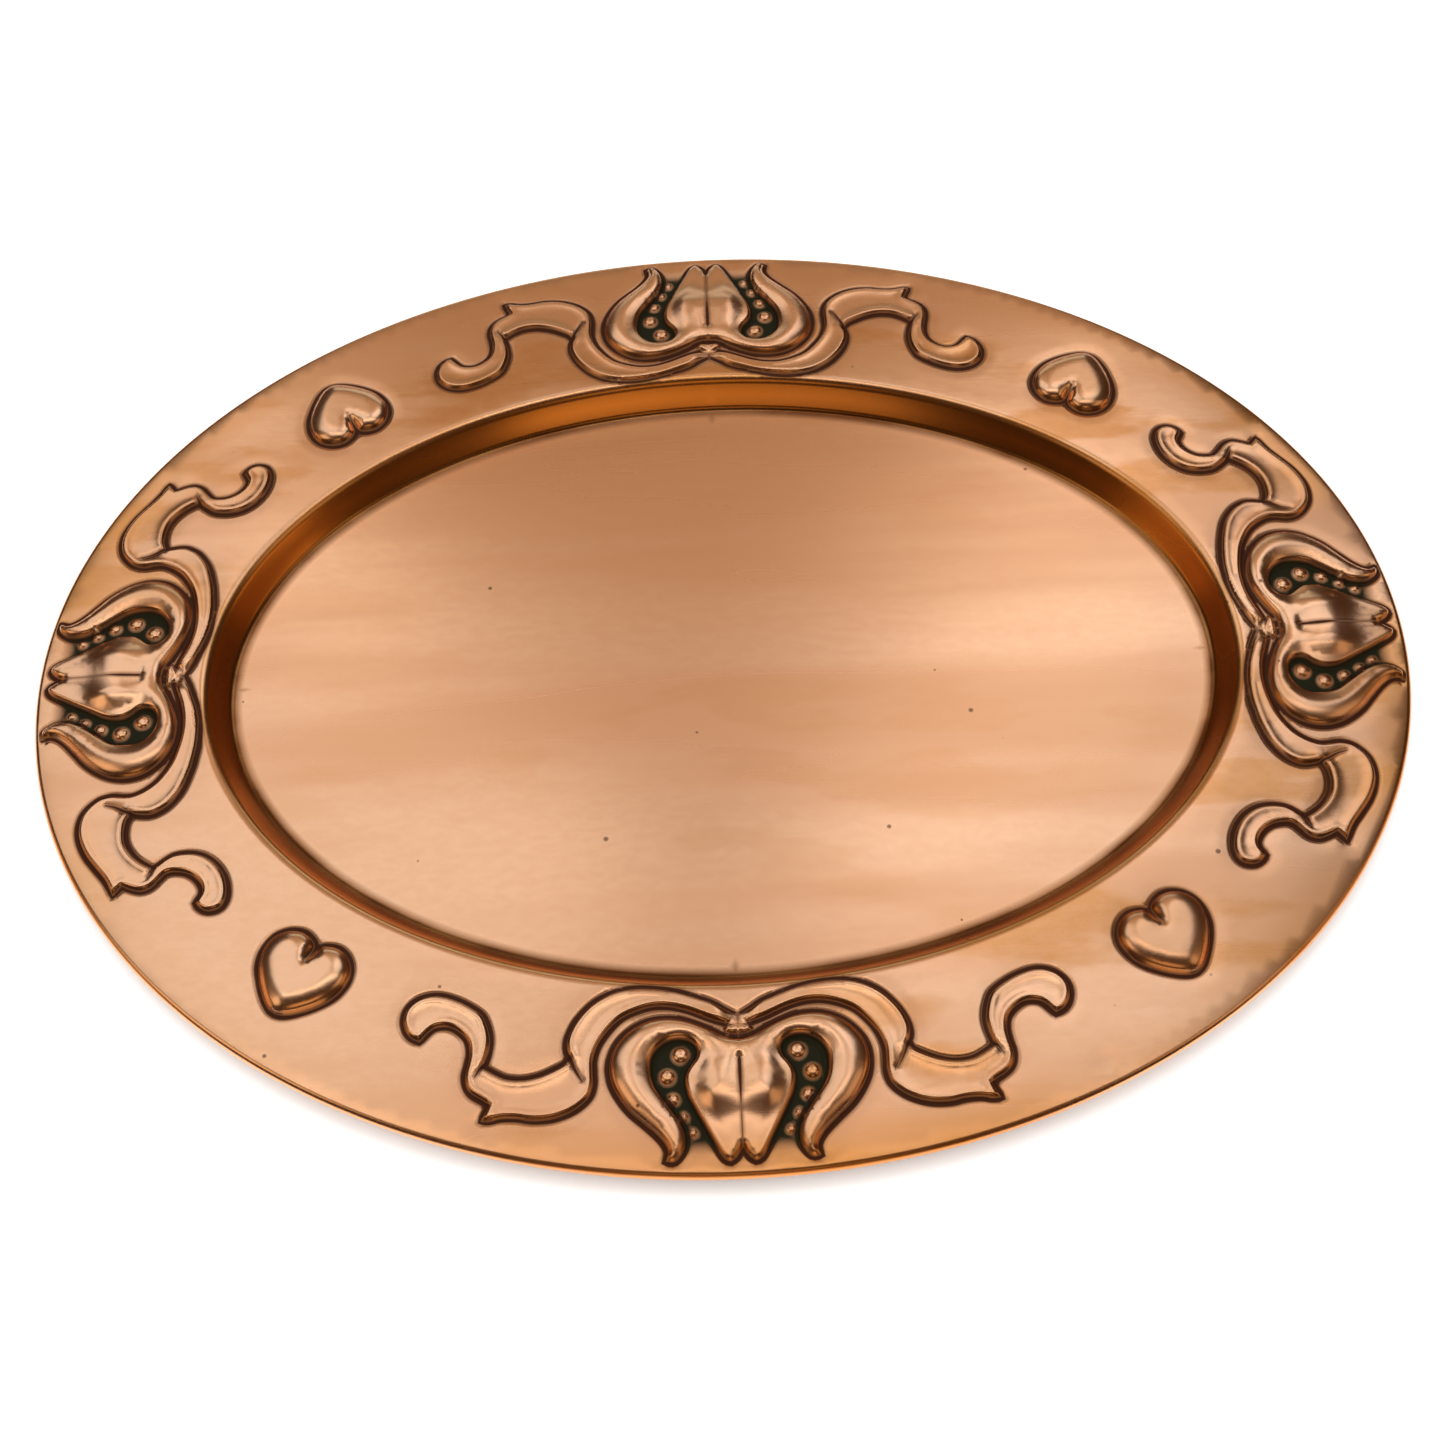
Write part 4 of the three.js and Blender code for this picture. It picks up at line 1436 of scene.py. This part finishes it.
@dataclass(frozen=True)
class Softbox:
    """One soft light panel, aimed at the middle of the tray.

    Attributes:
        name: The panel's name.
        azimuth: Degrees to the right of straight behind the tray.
        elevation: Degrees above the floor.
        size: Width and height, in metres.
        glow: How bright the panel looks.
        colour: Its colour.
        distance: How far away it hangs, in metres.
        on_metal: Whether the polished metal mirrors it.
    """

    name: str
    azimuth: float
    elevation: float
    size: tuple[float, float]
    glow: float
    colour: tuple[float, float, float] = (1.0, 1.0, 1.0)
    distance: float = 2.0
    on_metal: bool = True

    def build(self) -> None:
        """Hangs the panel."""
        light = bpy.data.lights.new(self.name, "AREA")
        light.shape = "RECTANGLE"
        light.size, light.size_y = self.size
        light.energy = self.glow * math.pi * self.size[0] * self.size[1]
        light.color = self.colour
        panel = bpy.data.objects.new(self.name, light)
        around, up = math.radians(self.azimuth), math.radians(self.elevation)
        reach = math.cos(up)
        place = Vector((math.sin(around) * reach, math.cos(around) * reach, math.sin(up)))
        panel.location = place * self.distance
        panel.rotation_euler = (-place).to_track_quat("-Z", "Y").to_euler()
        panel.visible_glossy = self.on_metal
        bpy.context.scene.collection.objects.link(panel)


@dataclass
class Studio:
    """Floor, lights and camera.

    The floor lies just under the tray. The metal mirrors the dim warm air; the pale air
    is what the camera and the floor see.
    """

    floor_half: float = 6.0
    floor_drop: float = 0.0002
    floor_colour: Colour = (0.9, 0.9, 0.9, 1.0)
    floor_roughness: float = 0.9
    floor_specular: float = 0.1
    dim_air: Colour = (1.0, 0.6, 0.35, 1.0)
    dim_strength: float = 0.05
    pale_air: Colour = (0.95, 0.95, 0.95, 1.0)
    film: float = 36.0
    nearest: float = 0.01
    eye: tuple[float, float, float] = (0.0019, -0.4524, 0.7198)
    target: tuple[float, float, float] = (0.0070, -0.0350, 0.0125)
    roll: float = -1.94
    lens: float = 47.48
    shift_x: float = -0.0129
    softboxes: Sequence[Softbox] = (
        Softbox("top_left_box", -44, 56, (1.0, 1.1), 1.08, (0.82, 1.0, 1.2)),
        Softbox("top_right_box", 32, 58, (0.72, 0.95), 1.3, (0.8, 1.0, 1.25)),
        Softbox("top_middle_box", 0, 72, (0.7, 1.2), 0.42, (0.92, 1.0, 1.1)),
        Softbox("overhead_box", 0, 86, (1.7, 0.4), 1.65, (0.9, 1.0, 1.05)),
        Softbox("back_box", 0, 46, (1.5, 0.8), 0.4, (1.0, 0.86, 0.62)),
        Softbox("low_back_box", 0, 20, (1.4, 0.6), 0.8, (0.8, 1.0, 1.05)),
        Softbox("right_box", 105, 46, (0.9, 0.9), 0.6, (1.0, 0.85, 0.6)),
        Softbox("left_box", -105, 46, (0.9, 0.9), 1.0, (1.0, 0.9, 0.7)),
        Softbox("low_right_box", 100, 15, (1.2, 0.5), 0.8, (1.0, 0.6, 0.25)),
        Softbox("low_left_box", -95, 15, (1.2, 0.5), 0.8, (1.0, 0.6, 0.25)),
        Softbox("front_box", 180, 48, (0.7, 0.5), 0.8, (1.0, 0.7, 0.35)),
        Softbox("low_front_box", 180, 11, (1.6, 0.5), 0.9, (1.0, 0.7, 0.35)),
        Softbox("floor_wash", 180, 80, (3.0, 3.0), 1.2, (1.0, 1.0, 1.0), 2.2, False),
    )

    def floor(self) -> None:
        """A plain pale floor under the tray."""
        mesh = bmesh.new()
        bmesh.ops.create_grid(mesh, x_segments=1, y_segments=1, size=self.floor_half)
        data = bpy.data.meshes.new("studio_floor")
        mesh.to_mesh(data)
        mesh.free()
        floor = bpy.data.objects.new("studio_floor", data)
        floor.location.z = -self.floor_drop
        material, _, shader = new_material("pale_floor")
        shader.inputs["Base Color"].default_value = self.floor_colour
        shader.inputs["Roughness"].default_value = self.floor_roughness
        shader.inputs["Specular IOR Level"].default_value = self.floor_specular
        data.materials.append(material)
        bpy.context.scene.collection.objects.link(floor)

    def camera(self) -> None:
        """The camera, at the view that the tray is shown from."""
        data = bpy.data.cameras.new("view_camera")
        data.lens = self.lens
        data.sensor_width = self.film
        data.shift_x = self.shift_x
        data.clip_start = self.nearest
        camera = bpy.data.objects.new("view_camera", data)
        aim = Vector(self.target) - Vector(self.eye)
        toward = aim.to_track_quat("-Z", "Y").to_matrix()
        turned = toward @ Matrix.Rotation(math.radians(self.roll), 3, "Z")
        camera.matrix_world = Matrix.Translation(self.eye) @ turned.to_4x4()
        bpy.context.scene.collection.objects.link(camera)
        bpy.context.scene.camera = camera

    def air(self) -> None:
        """The world: dim for the metal's mirrored light, pale for the camera and floor."""
        world = bpy.data.worlds.new("studio_air")
        world.use_nodes = True
        nodes = Nodes(world.node_tree)
        back = world.node_tree.nodes["Background"]
        back.inputs["Color"].default_value = self.dim_air
        back.inputs["Strength"].default_value = self.dim_strength
        seen = nodes.add("ShaderNodeBackground")
        seen.inputs["Color"].default_value = self.pale_air
        ray = nodes.add("ShaderNodeLightPath").outputs
        share = nodes.add("ShaderNodeMixShader")
        pale = nodes.math("MAXIMUM", ray["Is Camera Ray"], ray["Is Diffuse Ray"])
        nodes.put(share.inputs[0], pale)
        nodes.put(share.inputs[1], back.outputs[0])
        nodes.put(share.inputs[2], seen.outputs[0])
        nodes.put(world.node_tree.nodes["World Output"].inputs[0], share.outputs[0])
        bpy.context.scene.world = world

    def build(self) -> None:
        """Sets the studio up round the tray."""
        bpy.context.scene.view_settings.view_transform = "Standard"
        self.air()
        self.floor()
        self.camera()
        for softbox in self.softboxes:
            softbox.build()


# ---------------------------------------------------------------- main


def dress(piece: bpy.types.Object, material: bpy.types.Material, node: str) -> None:
    """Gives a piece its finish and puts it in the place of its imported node."""
    piece.data.materials.append(material)
    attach(piece, "root")
    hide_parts(node)
    LOG.info("%s stands for %s", piece.name, node)


def main() -> None:
    """Builds the tray and the studio."""
    logging.basicConfig(level=logging.INFO, format="%(name)s: %(message)s")
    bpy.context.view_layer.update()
    low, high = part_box("tray_sheet")
    sizes = TraySizes(
        half_length=(high.x - low.x) / 2 / MM,
        half_width=(high.y - low.y) / 2 / MM,
    )
    Studio().build()
    dress(TraySheet(sizes).build(), CopperFinish().material(), "tray_sheet")
    dress(RimWire(sizes).build(), IronFinish().material(), "rim_wire")


if __name__ == "__main__":
    main()
